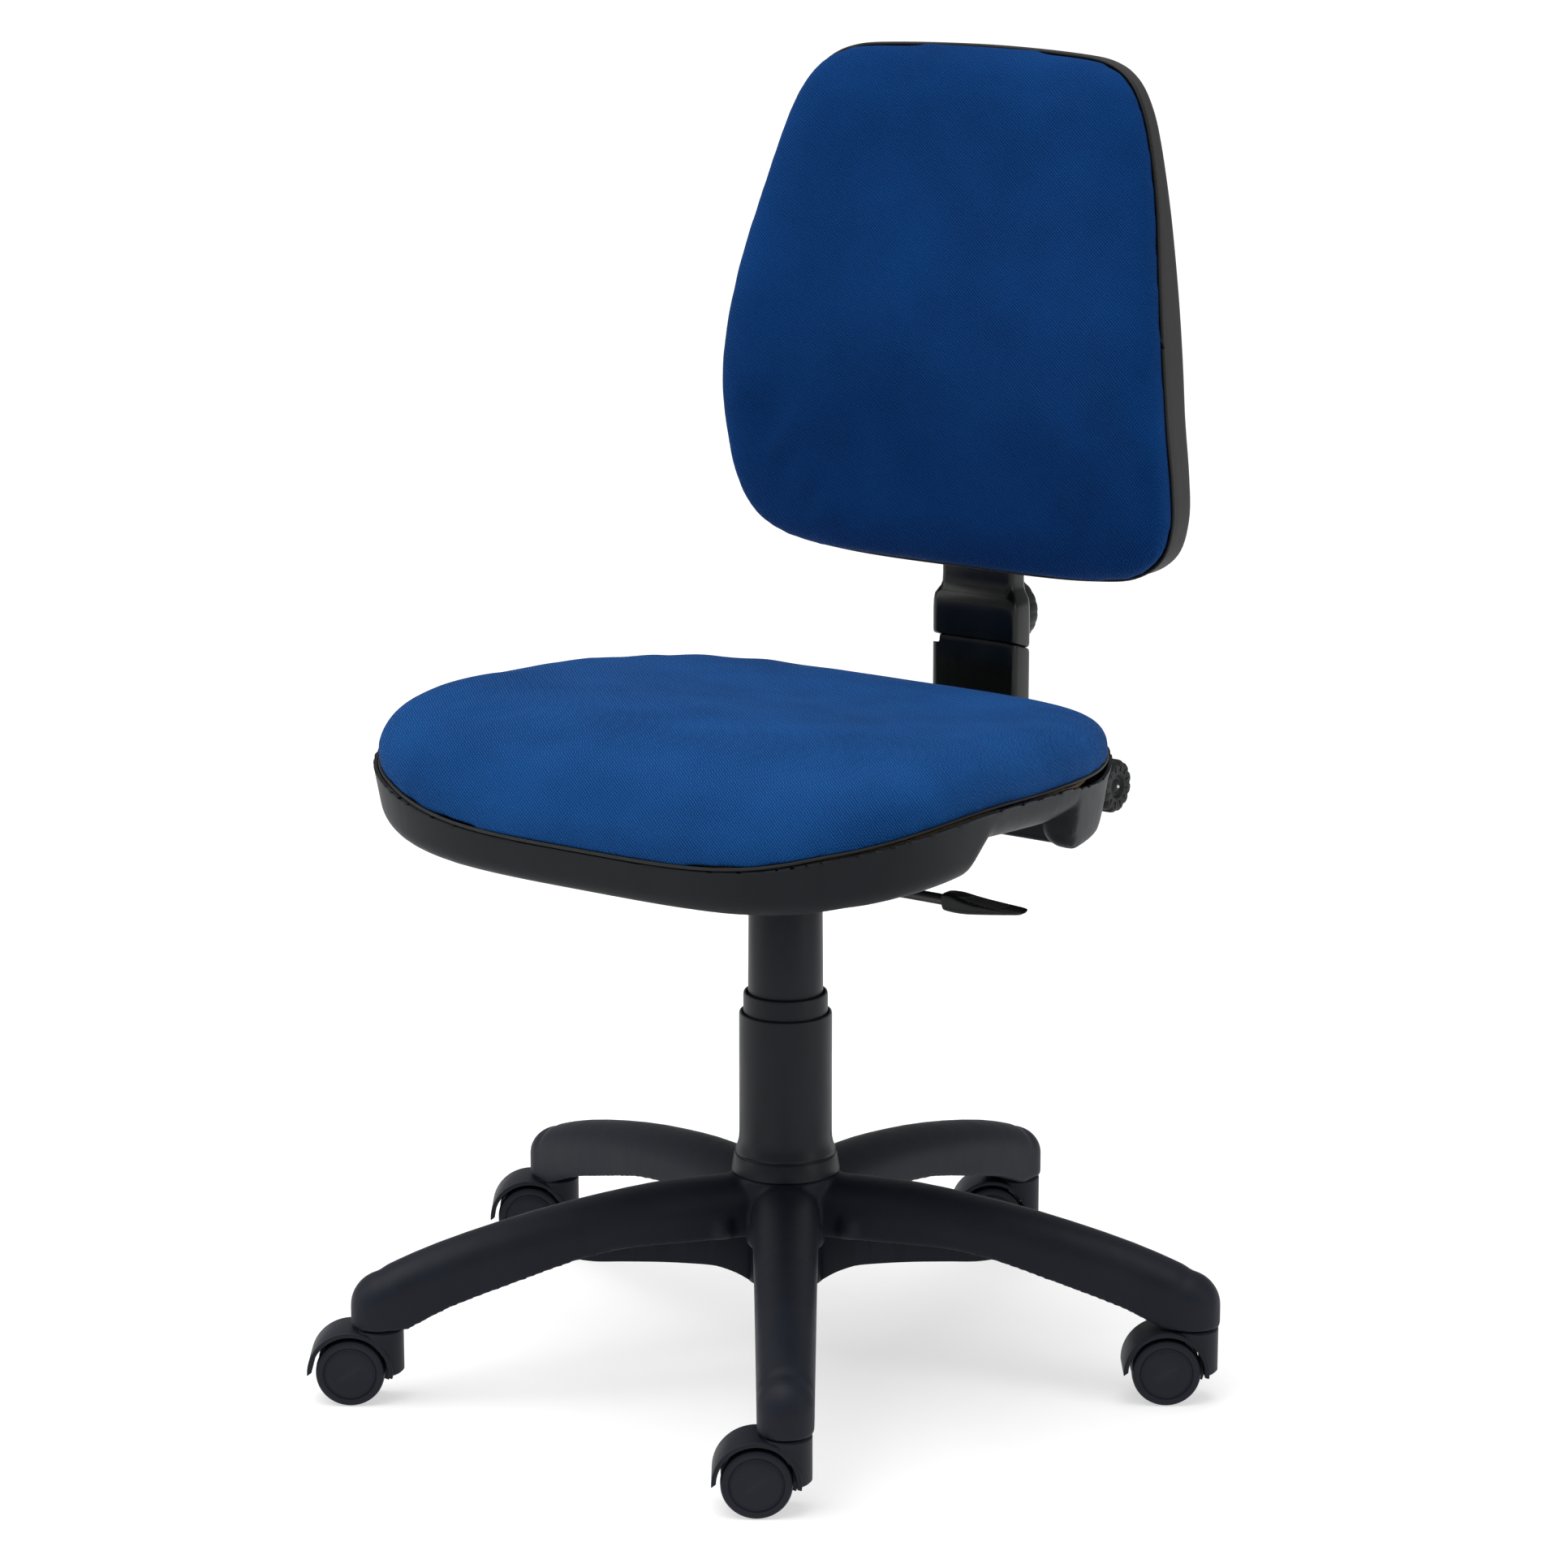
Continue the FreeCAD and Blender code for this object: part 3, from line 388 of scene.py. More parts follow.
def moulded(name, colour, roughness, grain_mm, depth_mm, specular=0.45, mottle=0.08, wear=0.5):
    """Moulded plastic: pebbled grain, uneven gloss, faint flow mottling and edges rubbed lighter."""
    r = Recipe(name, roughness, specular)
    cells = r.add("ShaderNodeTexVoronoi", {"Vector": r.place, "Scale": 1000.0 / grain_mm})
    fine = r.noise(2600.0 / grain_mm, 3.0)
    cloud = r.noise(28.0, 4.0)
    streak = r.noise(160.0, 3.0, (1, 1, 0.25))
    pebble = r.math("ADD", r.math("MULTIPLY", cells, 0.7), r.math("MULTIPLY", fine, 0.5))
    r.bump(pebble, depth_mm)
    uneven = r.math("ADD", r.math("MULTIPLY", cloud, 0.16), r.math("MULTIPLY", streak, 0.10))
    rubbed = r.math("MULTIPLY", r.worn_edges(), wear)
    gloss = r.math("ADD", uneven, roughness - 0.13)
    gloss = r.math("SUBTRACT", gloss, r.math("MULTIPLY", rubbed, 0.12))
    r.feed(r.shader.inputs["Roughness"], gloss)
    dark, light = rgb(colour, 1 - mottle * 2), rgb(colour, 1 + mottle * 3)
    base = r.blend(r.ramp(cloud, 0.3, 0.7), dark, light)
    base = r.blend(r.ramp(fine, 0.35, 0.75, 0.0, 0.35), base, rgb(colour, 1.5))
    base = r.blend(rubbed, base, rgb([min(255, c * 1.6 + 12) for c in colour]))
    r.feed(r.shader.inputs["Base Color"], base)
    return r.material


def woven(name, deep, light, pitch_mm):
    """Fine woven cloth: small raised floats in diagonal rows, soft fibre and a slight sheen."""
    r = Recipe(name, 0.82, 0.05)
    r.shader.inputs["Sheen Weight"].default_value = 0.04
    r.shader.inputs["Sheen Roughness"].default_value = 0.45
    r.shader.inputs["Sheen Tint"].default_value = rgb((120, 160, 220))
    turn = 2 * math.pi * 1000.0 / pitch_mm / math.sqrt(2)

    def wave(direction, factor):
        row = tuple(c * turn * factor for c in direction)
        along = r.add("ShaderNodeVectorMath", {0: wobbled, 1: row}, output="Value", operation="DOT_PRODUCT")
        return r.math("ADD", r.math("MULTIPLY", r.math("SINE", along), 0.5), 0.5)

    shift = r.add("ShaderNodeTexNoise", {"Vector": r.place, "Scale": 260.0, "Detail": 1.0}, output="Color")
    small = r.add("ShaderNodeVectorMath", {0: shift, 1: (0.0013,) * 3}, operation="MULTIPLY")
    wobbled = r.add("ShaderNodeVectorMath", {0: r.place, 1: small}, operation="ADD")
    rows = wave((1, 1, 1), 1.0)
    cross = r.math("MULTIPLY", r.math("ADD", wave((1, -1, -1), 1.25), wave((1, 1, -1), 1.25)), 0.5)
    floats = r.math("MULTIPLY", rows, r.math("ADD", r.math("MULTIPLY", cross, 0.75), 0.25))
    fibre = r.noise(1500.0, 2.0, (1, 1, 0.6))
    cloud = r.noise(14.0, 3.0)
    height = r.math("ADD", floats, r.math("MULTIPLY", fibre, 0.35))
    r.bump(height, 0.35, 0.8)
    tone = r.math("ADD", r.math("MULTIPLY", floats, 0.55), r.math("MULTIPLY", fibre, 0.4))
    tone = r.math("ADD", tone, r.ramp(cloud, 0.3, 0.7, -0.06, 0.06))
    r.feed(r.shader.inputs["Base Color"], r.blend(r.ramp(tone, 0.05, 0.95), rgb(deep), rgb(light)))
    r.feed(r.shader.inputs["Roughness"], r.ramp(floats, 0.0, 1.0, 0.92, 0.74))
    return r.material


def metal(name, colour, roughness, metallic=1.0, scratch=0.5):
    """Metal or painted metal with fine scratches, smudged gloss and brighter rubbed edges."""
    r = Recipe(name, roughness)
    r.shader.inputs["Metallic"].default_value = metallic
    lines = r.noise(700.0, 3.0, (1, 1, 0.06))
    smudge = r.noise(45.0, 3.0)
    r.bump(lines, 0.02 * scratch)
    gloss = r.math("ADD", r.math("MULTIPLY", smudge, 0.22), r.math("MULTIPLY", lines, 0.1))
    r.feed(r.shader.inputs["Roughness"], r.math("ADD", gloss, roughness - 0.16))
    base = r.blend(r.ramp(smudge, 0.3, 0.7), rgb(colour, 0.85), rgb(colour, 1.1))
    r.feed(r.shader.inputs["Base Color"], r.blend(r.worn_edges(), base, rgb(colour, 1.5)))
    return r.material


def plywood(name):
    """Birch plywood: thin plies one above another, and long grain with darker pores."""
    r = Recipe(name, 0.6, 0.3)
    parts = r.add("ShaderNodeSeparateXYZ", {"Vector": r.place}, output="Z")
    plies = r.math("ADD", r.math("MULTIPLY", r.math("SINE", r.math("MULTIPLY", parts, 4200.0)), 0.5), 0.5)
    grain = r.noise(220.0, 5.0, (1, 0.07, 1))
    pores = r.noise(900.0, 2.0, (1, 0.04, 1))
    r.bump(grain, 0.15)
    wood = r.blend(grain, rgb((196, 160, 112)), rgb((226, 196, 150)))
    wood = r.blend(r.ramp(plies, 0.55, 0.9, 0.0, 0.45), wood, rgb((150, 110, 70)))
    wood = r.blend(r.ramp(pores, 0.6, 0.8, 0.0, 0.4), wood, rgb((120, 84, 52)))
    r.feed(r.shader.inputs["Base Color"], wood)
    r.feed(r.shader.inputs["Roughness"], r.ramp(grain, 0.2, 0.8, 0.5, 0.75))
    return r.material


MATERIALS = {
    "base_nylon": moulded("base_nylon", (22, 25, 33), 0.52, 0.55, 0.03, specular=0.13, mottle=0.06,
                         wear=0.12),
    "caster_nylon": moulded("caster_nylon", (22, 24, 31), 0.50, 0.5, 0.025, specular=0.14, wear=0.15),
    "wheel_nylon": moulded("wheel_nylon", (23, 26, 33), 0.46, 0.45, 0.02, specular=0.14, wear=0.15),
    "column_plastic": moulded("column_plastic", (20, 22, 28), 0.42, 0.6, 0.012, specular=0.18, wear=0.15),
    "shell_plastic": moulded("shell_plastic", (17, 20, 24), 0.47, 0.6, 0.025, specular=0.12, wear=0.15),
    "back_shell_plastic": moulded("back_shell_plastic", (50, 49, 49), 0.62, 0.9, 0.07, specular=0.15,
                                 mottle=0.03, wear=0.08),
    "cover_plastic": moulded("cover_plastic", (9, 12, 12), 0.24, 0.7, 0.005, specular=0.24, wear=0.05),
    "knob_plastic": moulded("knob_plastic", (22, 23, 24), 0.46, 0.5, 0.025, specular=0.16, wear=0.2),
    "bush_plastic": moulded("bush_plastic", (210, 205, 190), 0.45, 0.6, 0.02, wear=0.1),
    "seat_fabric": woven("seat_fabric", (1, 28, 66), (30, 90, 158), 2.0),
    "back_fabric": woven("back_fabric", (0, 22, 58), (14, 72, 138), 2.0),
    "plywood": plywood("plywood"),
    "black_steel": metal("black_steel", (30, 31, 33), 0.42, 0.25),
    "bearing_steel": metal("bearing_steel", (170, 172, 176), 0.22),
    "zinc_steel": metal("zinc_steel", (180, 182, 178), 0.36),
    "chromed_rod": metal("chromed_rod", (200, 202, 205), 0.10, 1.0, 0.2),
}
# Near-black strip material for the cushion seams: painted shadow that stands for the dark gap between cloth
# and shell.
SEAM_SHADOW_STRIP = moulded("seam_shadow_strip", (10, 10, 11), 0.55, 0.5, 0.02, specular=0.3, wear=0.0)


def dressed(piece, body, slot, stands_for=(), material=None):
    """The last step for each new piece: the material of its slot, its body, and hiding the CAD nodes it
    stands for.
    """
    piece.data.materials.clear()
    piece.data.materials.append(material or MATERIALS[slot])
    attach(piece, body)
    if stands_for:
        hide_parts(*stands_for)
    return piece


# ---------------------------------------------------------------- camera, floor and light
def set_stage():
    scene = bpy.context.scene
    camera = bpy.data.objects.new("camera", bpy.data.cameras.new("camera"))
    scene.collection.objects.link(camera)
    camera.location = (1.996, -2.851, 1.292)
    camera.rotation_euler = (math.radians(90 - 13.83), 0, math.radians(35))
    camera.data.sensor_width = 36.0
    camera.data.lens = 113.8
    camera.data.shift_x = -0.0008
    scene.camera = camera

    half = FLOOR_HALF
    corners = [(-half, -half, 0), (half, -half, 0), (half, half, 0), (-half, half, 0)]
    floor = add_object("studio_floor", corners, [(0, 1, 2, 3)])
    paper = Recipe("studio_paper", 0.9, 0.1)
    speck = paper.noise(40.0, 2.0)
    paper.feed(paper.shader.inputs["Base Color"],
               paper.blend(speck, rgb((186, 186, 186)), rgb((192, 192, 192))))
    paper.shader.inputs["Emission Color"].default_value = (1, 1, 1, 1)
    paper.shader.inputs["Emission Strength"].default_value = 0.55
    floor.data.materials.append(paper.material)

    def softbox(name, spot, target, size, watts):
        light = bpy.data.objects.new(name, bpy.data.lights.new(name, "AREA"))
        light.data.shape = "RECTANGLE"
        light.data.size, light.data.size_y = size
        light.data.energy = watts
        light.location = spot
        light.rotation_euler = (Vector(target) - Vector(spot)).to_track_quat("-Z", "Y").to_euler()
        scene.collection.objects.link(light)

    softbox("top_box", (-0.2, -0.3, 3.2), (0, 0, 0.4), (2.6, 2.6), 25)
    softbox("left_box", (-2.6, -1.8, 1.7), (0, 0, 0.5), (1.6, 2.2), 26)
    softbox("right_box", (2.9, 0.4, 1.5), (0, 0, 0.5), (1.2, 2.2), 18)
    sun = bpy.data.objects.new("sun", bpy.data.lights.new("sun", "SUN"))
    sun.data.energy = 2.3
    sun.data.angle = math.radians(60)
    sun.rotation_euler = (math.radians(12), math.radians(-8), 0)
    scene.collection.objects.link(sun)
    world = bpy.data.worlds.new("studio")
    world.use_nodes = True
    sky = world.node_tree.nodes["Background"]
    sky.inputs["Color"].default_value = (1, 1, 1, 1)
    sky.inputs["Strength"].default_value = 0.42
    scene.world = world
    scene.view_settings.view_transform = "Standard"


# ---------------------------------------------------------------- five-star base
def arm_half_width(rho, inset):
    tip = SOCKET_R - ARM_ROOT_HALF
    half = ARM_ROOT_HALF + tip * rho / STEM_CIRCLE_R - inset
    over = rho - STEM_CIRCLE_R
    if over > 0:
        half = math.sqrt(max((SOCKET_R - inset) ** 2 - over ** 2, 0.3))
    return half


def arm_crest(rho, inset):
    crest = smooth_value(ARM_TOP, rho)
    over = rho - (STEM_CIRCLE_R + SOCKET_R - ARM_NOSE_R)
    if over > 0:
        crest = min(crest, ARM_NOSE_TOP - ARM_NOSE_R + math.sqrt(max(ARM_NOSE_R ** 2 - over ** 2, 0.0)))
    return crest - inset


def arm_ring(rho, inset, low, side=0):
    """Section across an arm: upright sides and a half-round crown. side keeps one half of it."""
    half = arm_half_width(rho, inset)
    crest = arm_crest(rho, inset)
    shoulder = max(crest - half * 0.95, low + 0.5)
    steps = 24
    ring = []
    for k in range(steps + 1):
        angle = math.pi * k / steps
        ring.append((half * math.cos(angle), shoulder + (crest - shoulder) * math.sin(angle)))
    ring.append((-half, low))
    ring.append((half, low))
    if side:
        ring = [(max(a * side, SPINE_HALF) * side, b) for a, b in ring]
    return [(rho, a, b) for a, b in ring]


def placed(piece, angle, x=0.0, y=0.0):
    piece.data.transform(Matrix.Translation((x * MM, y * MM, 0)) @ Matrix.Rotation(angle, 4, "Z"))
    return piece


def star_arm():
    """The solid outside of one arm: the rail and the soft bosses at its root."""
    stations = [5, 20, 40, 60, 80, 100, 120, 140, 165, 190, 215, 240, 262, 280, 292]
    stations += [300, 306, 311, 316, 320, 323.5, 326, 328, 329.2]
    feet = [max(smooth_value(ARM_WALL_LOW, s), SOCKET_BOTTOM_Z) for s in stations]
    rail = loft("rail", [arm_ring(s, 0, foot) for s, foot in zip(stations, feet)])
    parts = [rail]
    for side in (-1, 1):
        profile = [(0.01, 103), (8.5, 103), (10, 108), (9, 116), (6, 120), (0.01, 121)]
        boss = turned("boss", profile, segments=32)
        boss.data.transform(Matrix.Translation((55 * MM, side * 19 * MM, 0)))
        parts.append(boss)
    return parts


def arm_spine():
    """The deep rib under the middle of an arm, running out from the hub."""
    rings = []
    for k in range(40):
        s = ARM_SPINE_LOW[0][0] + (ARM_SPINE_LOW[-1][0] - ARM_SPINE_LOW[0][0]) * k / 39
        low = smooth_value(ARM_SPINE_LOW, s)
        rings.append([(s, -SPINE_HALF, low), (s, SPINE_HALF, low),
                      (s, SPINE_HALF, SPINE_TOP_Z), (s, -SPINE_HALF, SPINE_TOP_Z)])
    return loft("spine", rings)


def star_cells():
    """The hollows under one arm, between its ribs and on each side of its spine."""
    cells = []
    for a, b in zip(RIB_STATIONS, RIB_STATIONS[1:]):
        for side in (-1, 1):
            rings = []
            for k in range(6):
                rho = a + 1.2 + (b - a - 2.4) * k / 5
                rings.append(arm_ring(rho, BASE_WALL, 30.0, side))
            cells.append(loft("cell", rings))
    bore = turned("bore", [(0.01, 40), (5.5, 40), (5.5, 90.5), (0.01, 90.5)], segments=32)
    bore.data.transform(Matrix.Translation((STEM_CIRCLE_R * MM, 0, 0)))
    return cells + [bore]


def build_base():
    hub = turned("hub", [(0.01, HUB_BOTTOM_Z), (27.5, HUB_BOTTOM_Z), (29, 59.5), (29, 91), (37, 98),
                         (39.5, 104), (40.5, 115), (41, 130), (40, 142.5), (38.5, 144), (0.01, 144)])
    parts = [hub]
    for angle in ARM_ANGLES:
        parts += [placed(part, angle) for part in star_arm()]
    star = melted("five_star_base_moulding", parts, 1.8, 7)
    cutters = []
    for angle in ARM_ANGLES:
        cutters += [placed(cell, angle) for cell in star_cells()]
    combined(star, cutters, "DIFFERENCE")
    combined(star, [placed(arm_spine(), angle) for angle in ARM_ANGLES], "UNION")
    bore_profile = [(0.01, 50), (23.9, 50), (23.9, 63.9), (25.2, 64.1), (25.2, 160), (0.01, 160)]
    bore = turned("tube_bore", bore_profile)
    combined(star, [bore], "DIFFERENCE")
    shaded(star, 42)
    dressed(star, "base", "base_nylon", ["five_star_base"])


# ---------------------------------------------------------------- casters
def arc(radius, start, end, steps):
    """Points of an arc round the wheel's axle, as (x, z)."""
    points = []
    for k in range(steps + 1):
        angle = math.radians(start + (end - start) * k / steps)
        points.append((CASTER_TRAIL + radius * math.cos(angle), WHEEL_R + radius * math.sin(angle)))
    return points


def side_prism(name, outline, half):
    """A prism across the caster from an (x, z) outline."""
    return extruded(name, [(z, x) for x, z in outline], "y", -half, half)


def caster_hood():
    inner, outer = HOOD_R
    hood = side_prism("hood", arc(outer, -3, 187, 60) + arc(inner, 186, 2, 60), HOOD_HALF_WIDTH)
    bevelled(hood, 0.7, 3, 50)
    low, high = STEM_BLOCK_Z
    r = STEM_BLOCK_R
    stem = turned("stem_block", [(0.01, low), (r - 1.5, low), (r, low + 1.5), (r, high - 1.5),
                                 (r - 1.5, high), (0.01, high)], segments=72)
    wheel_room = side_prism("wheel_room", arc(inner, 0, 354, 90), 40)
    combined(stem, [wheel_room], "DIFFERENCE")
    bevelled(stem, 0.5, 2, 50)
    web = side_prism("web", arc(inner + 1, 38, 200, 40) + arc(22.0, 200, 398, 40), WEB_HALF)
    bevelled(web, 0.4, 2, 50)
    bore = turned("bore", [(0.01, 30), (5.55, 30), (5.55, 70), (0.01, 70)], segments=32)
    combined(stem, [hood], "UNION")
    combined(stem, [web], "UNION")
    combined(stem, [bore], "DIFFERENCE")
    return shaded(stem, 32)


def caster_wheel(side):
    """One wheel: crowned tread, rounded shoulders, ring groove and slightly dished face."""
    profile = [(3.05, 4.4), (8, 4.4), (9, 5.5), (9.5, 9), (20.5, 9), (21.3, 5), (22.5, 4.0), (24.2, 4.6),
               (24.8, 6.5), (25.0, 10.7), (24.8, 15.0), (24.2, 16.5), (23.0, 17.3), (21.5, 17.4),
               (19.7, 17.4), (19.5, 16.8), (18.9, 16.6), (18.5, 16.9), (18.2, 17.25), (17.6, 17.3),
               (17.3, 17.0), (16.9, 17.2), (12, 17.0), (6, 16.8), (0.01, 16.8), (0.01, 14.2), (3.05, 14.2)]
    return shaded(turned("wheel", [(r, side * y) for r, y in profile], "y", (CASTER_TRAIL, 0, WHEEL_R), 96,
                         closed=True), 30)


def build_casters():
    hood = caster_hood()
    wheels = {"left": caster_wheel(1), "right": caster_wheel(-1)}
    for number, angle in enumerate(ARM_ANGLES, 1):
        spot = (STEM_CIRCLE_R * math.cos(angle), STEM_CIRCLE_R * math.sin(angle))
        sources = [("housing", hood, f"caster_{number}", "caster_nylon")]
        for side, wheel in wheels.items():
            sources.append((f"wheel_{side}", wheel, f"caster_{number}_wheel_{side}", "wheel_nylon"))
        for part, source, body, slot in sources:
            name = f"caster_{number}_{part}"
            piece = bpy.data.objects.new(name + "_moulding", source.data.copy())
            bpy.context.scene.collection.objects.link(piece)
            placed(piece, CASTER_TRAIL_ANGLE, *spot)
            dressed(piece, body, slot, [name])
    for piece in [hood] + list(wheels.values()):
        drop(piece)


# ---------------------------------------------------------------- telescopic cover of the gas lift
def build_sleeves():
    lower = [(25.4, 144), (39.0, 144), (39.8, 144.6), (39.7, 146), (37.9, 155.8), (37.4, 156.8),
             (36.6, 157.0), (36.3, 157.6), (36.7, 158.2), (36.9, 159), (36.6, 160.5), (35.3, 164),
             (34.4, 168), (34.1, 173), (34.1, 262.6), (33.8, 264.3), (33.0, 265), (32.2, 264.7),
             (31.6, 263.8), (31.5, 262), (31.5, 150), (25.4, 150)]
    middle = [(28.6, 168), (30.5, 168), (31, 171), (31, 277.8), (30.6, 279.4), (29.9, 280), (29.1, 279.6),
              (28.6, 278.4)]
    upper = [(25.4, 215), (27.5, 215), (28, 217), (27, 350.8), (26.5, 352), (14.05, 352),
             (14.05, 349), (25.4, 349)]
    for name, body, profile in (("lower", "base", lower), ("middle", "sleeve_middle", middle),
                                ("upper", "seat", upper)):
        sleeve = shaded(turned("sleeve_" + name + "_turned", profile, segments=128, closed=True), 32)
        dressed(sleeve, body, "column_plastic", ["column_sleeve_" + name])


# ---------------------------------------------------------------- seat
def seat_rim(angle, inset):
    """A point (x, y) of the seat's plan outline, drawn in by inset."""
    c, s = math.cos(angle), math.sin(angle)
    power = SEAT_REAR_POWER if s > 0 else SEAT_FRONT_POWER
    half_w, half_d = SEAT_HALF_WIDTH - inset, SEAT_HALF_DEPTH - inset
    reach = (abs(c / half_w) ** power + abs(s / half_d) ** power) ** (-1 / power)
    return reach * c * (1 - SEAT_TAPER * reach * s / half_d), SEAT_CENTRE_Y + reach * s


def seat_ring(inset, height, steps=180):
    """The outline at one inset; height(x, y) gives each point's z."""
    ring = []
    for i in range(steps):
        x, y = seat_rim(2 * math.pi * i / steps, inset)
        ring.append((x, y, height(x, y)))
    return ring


def seam_z(x, y):
    return smooth_value(SEAM_LINE, y)


def rounding(inset, reach, power):
    """0 at the rim and 1 from reach inwards, like a rounded shoulder."""
    t = min(inset / reach, 1.0)
    return (1 - (1 - t) ** power) ** (1 / power)


def seat_top(inset):
    def height(x, y):
        rise = smooth_value(CROWN_LINE, y) - seam_z(x, y)
        across, along = x / SEAT_DISH_HALF[0], (y - SEAT_DISH_Y) / SEAT_DISH_HALF[1]
        dish = SEAT_DISH * math.exp(-(across ** 2 + along ** 2))
        crown = (rise - PAD_STEP) * rounding(inset, SEAT_EDGE_ROUNDING, PAD_EDGE_POWER)
        return seam_z(x, y) + PAD_STEP + crown - dish * rounding(inset, SEAT_DISH_FADE, 2.0)
    return height


def soft_pad(piece, is_held, voxel, cap):
    """Swells a closed mesh as stuffed cloth, moving no point by more than cap, and fairs the result.
    """
    remesh = piece.modifiers.new("remesh", "REMESH")
    remesh.mode = "VOXEL"
    remesh.voxel_size = voxel * MM
    fair = piece.modifiers.new("fair", "SMOOTH")
    fair.factor = 0.5
    fair.iterations = 3
    apply_modifiers(piece)
    start = [v.co.copy() for v in piece.data.vertices]
    held = piece.vertex_groups.new(name="held")
    held.add([v.index for v in piece.data.vertices if is_held(v.co / MM)], 1.0, "REPLACE")
    cloth = piece.modifiers.new("cloth", "CLOTH")
    cloth.settings.vertex_group_mass = "held"
    cloth.settings.quality = 5
    cloth.settings.mass = 0.3
    cloth.settings.tension_stiffness = 40.0
    cloth.settings.compression_stiffness = 40.0
    cloth.settings.bending_stiffness = 8.0
    cloth.settings.use_pressure = True
    cloth.settings.uniform_pressure_force = CLOTH_PRESSURE
    cloth.settings.effector_weights.gravity = 0.0
    cloth.point_cache.frame_start = 1
    cloth.point_cache.frame_end = CLOTH_FRAMES
    for frame_number in range(1, CLOTH_FRAMES + 1):
        bpy.context.scene.frame_set(frame_number)
    apply_modifiers(piece)
    bpy.context.scene.frame_set(1)
    for vertex, was in zip(piece.data.vertices, start):
        move = vertex.co - was
        if move.length > cap * MM:
            vertex.co = was + move.normalized() * cap * MM
    piece.vertex_groups.clear()
    taut = piece.modifiers.new("taut", "SMOOTH")
    taut.factor = 0.5
    taut.iterations = 8
    apply_modifiers(piece)
    finish = piece.modifiers.new("finish", "SUBSURF")
    finish.levels = 1
    finish.render_levels = 1
    apply_modifiers(piece)
    piece.data.shade_smooth()
    return piece


def build_seat_cushion():
    insets = (0, 0.6, 1.6, 3, 5, 8, 12, 17, 23, 30, 38, 48, 62, 80, 105, 135, 165, 190, 208, 216)

    def under(x, y):
        return seam_z(x, y) - 6.5

    rings = [seat_ring(i, under) for i in (214, 180, 120, 60, 20, 8, 4.6)]
    rings.append(seat_ring(4.0, lambda x, y: seam_z(x, y) - 5.0))
    rings.append(seat_ring(3.6, lambda x, y: seam_z(x, y) - 1.5))
    rings.append(seat_ring(2.2, lambda x, y: seam_z(x, y) + 0.4))
    rings.append(seat_ring(0.8, lambda x, y: seam_z(x, y) + 1.4))
    rings += [seat_ring(i, seat_top(i)) for i in insets]
    pad = loft("seat_cushion_upholstered", rings)
    soft_pad(pad, lambda p: p.z < seam_z(p.x, p.y) + 3.0, SEAT_VOXEL, SEAT_SWELL)
    dressed(pad, "seat", "seat_fabric", ["seat_cushion"])
    # Painted shadow: a near-black tube along the seat seam stands for the shadow in the gap between cloth and
    # shell.
    path = seat_ring(2.3, lambda x, y: seam_z(x, y) - 0.1, 240)
    seam_shadow = shaded(tube_round("seat_seam_shadow_strip", path, 1.3))
    dressed(seam_shadow, "seat", "shell_plastic", material=SEAM_SHADOW_STRIP)


def seat_prism(name, inset, low, high):
    """Upright walls on the seat outline, leaning in towards the bottom."""
    rings = []
    for k in range(7):
        z = low + (high - low) * k / 6
        rings.append(seat_ring(inset + SHELL_DRAFT * (SHELL_DRAFT_FROM_Z - z), lambda x, y: z))
    return loft(name, rings)


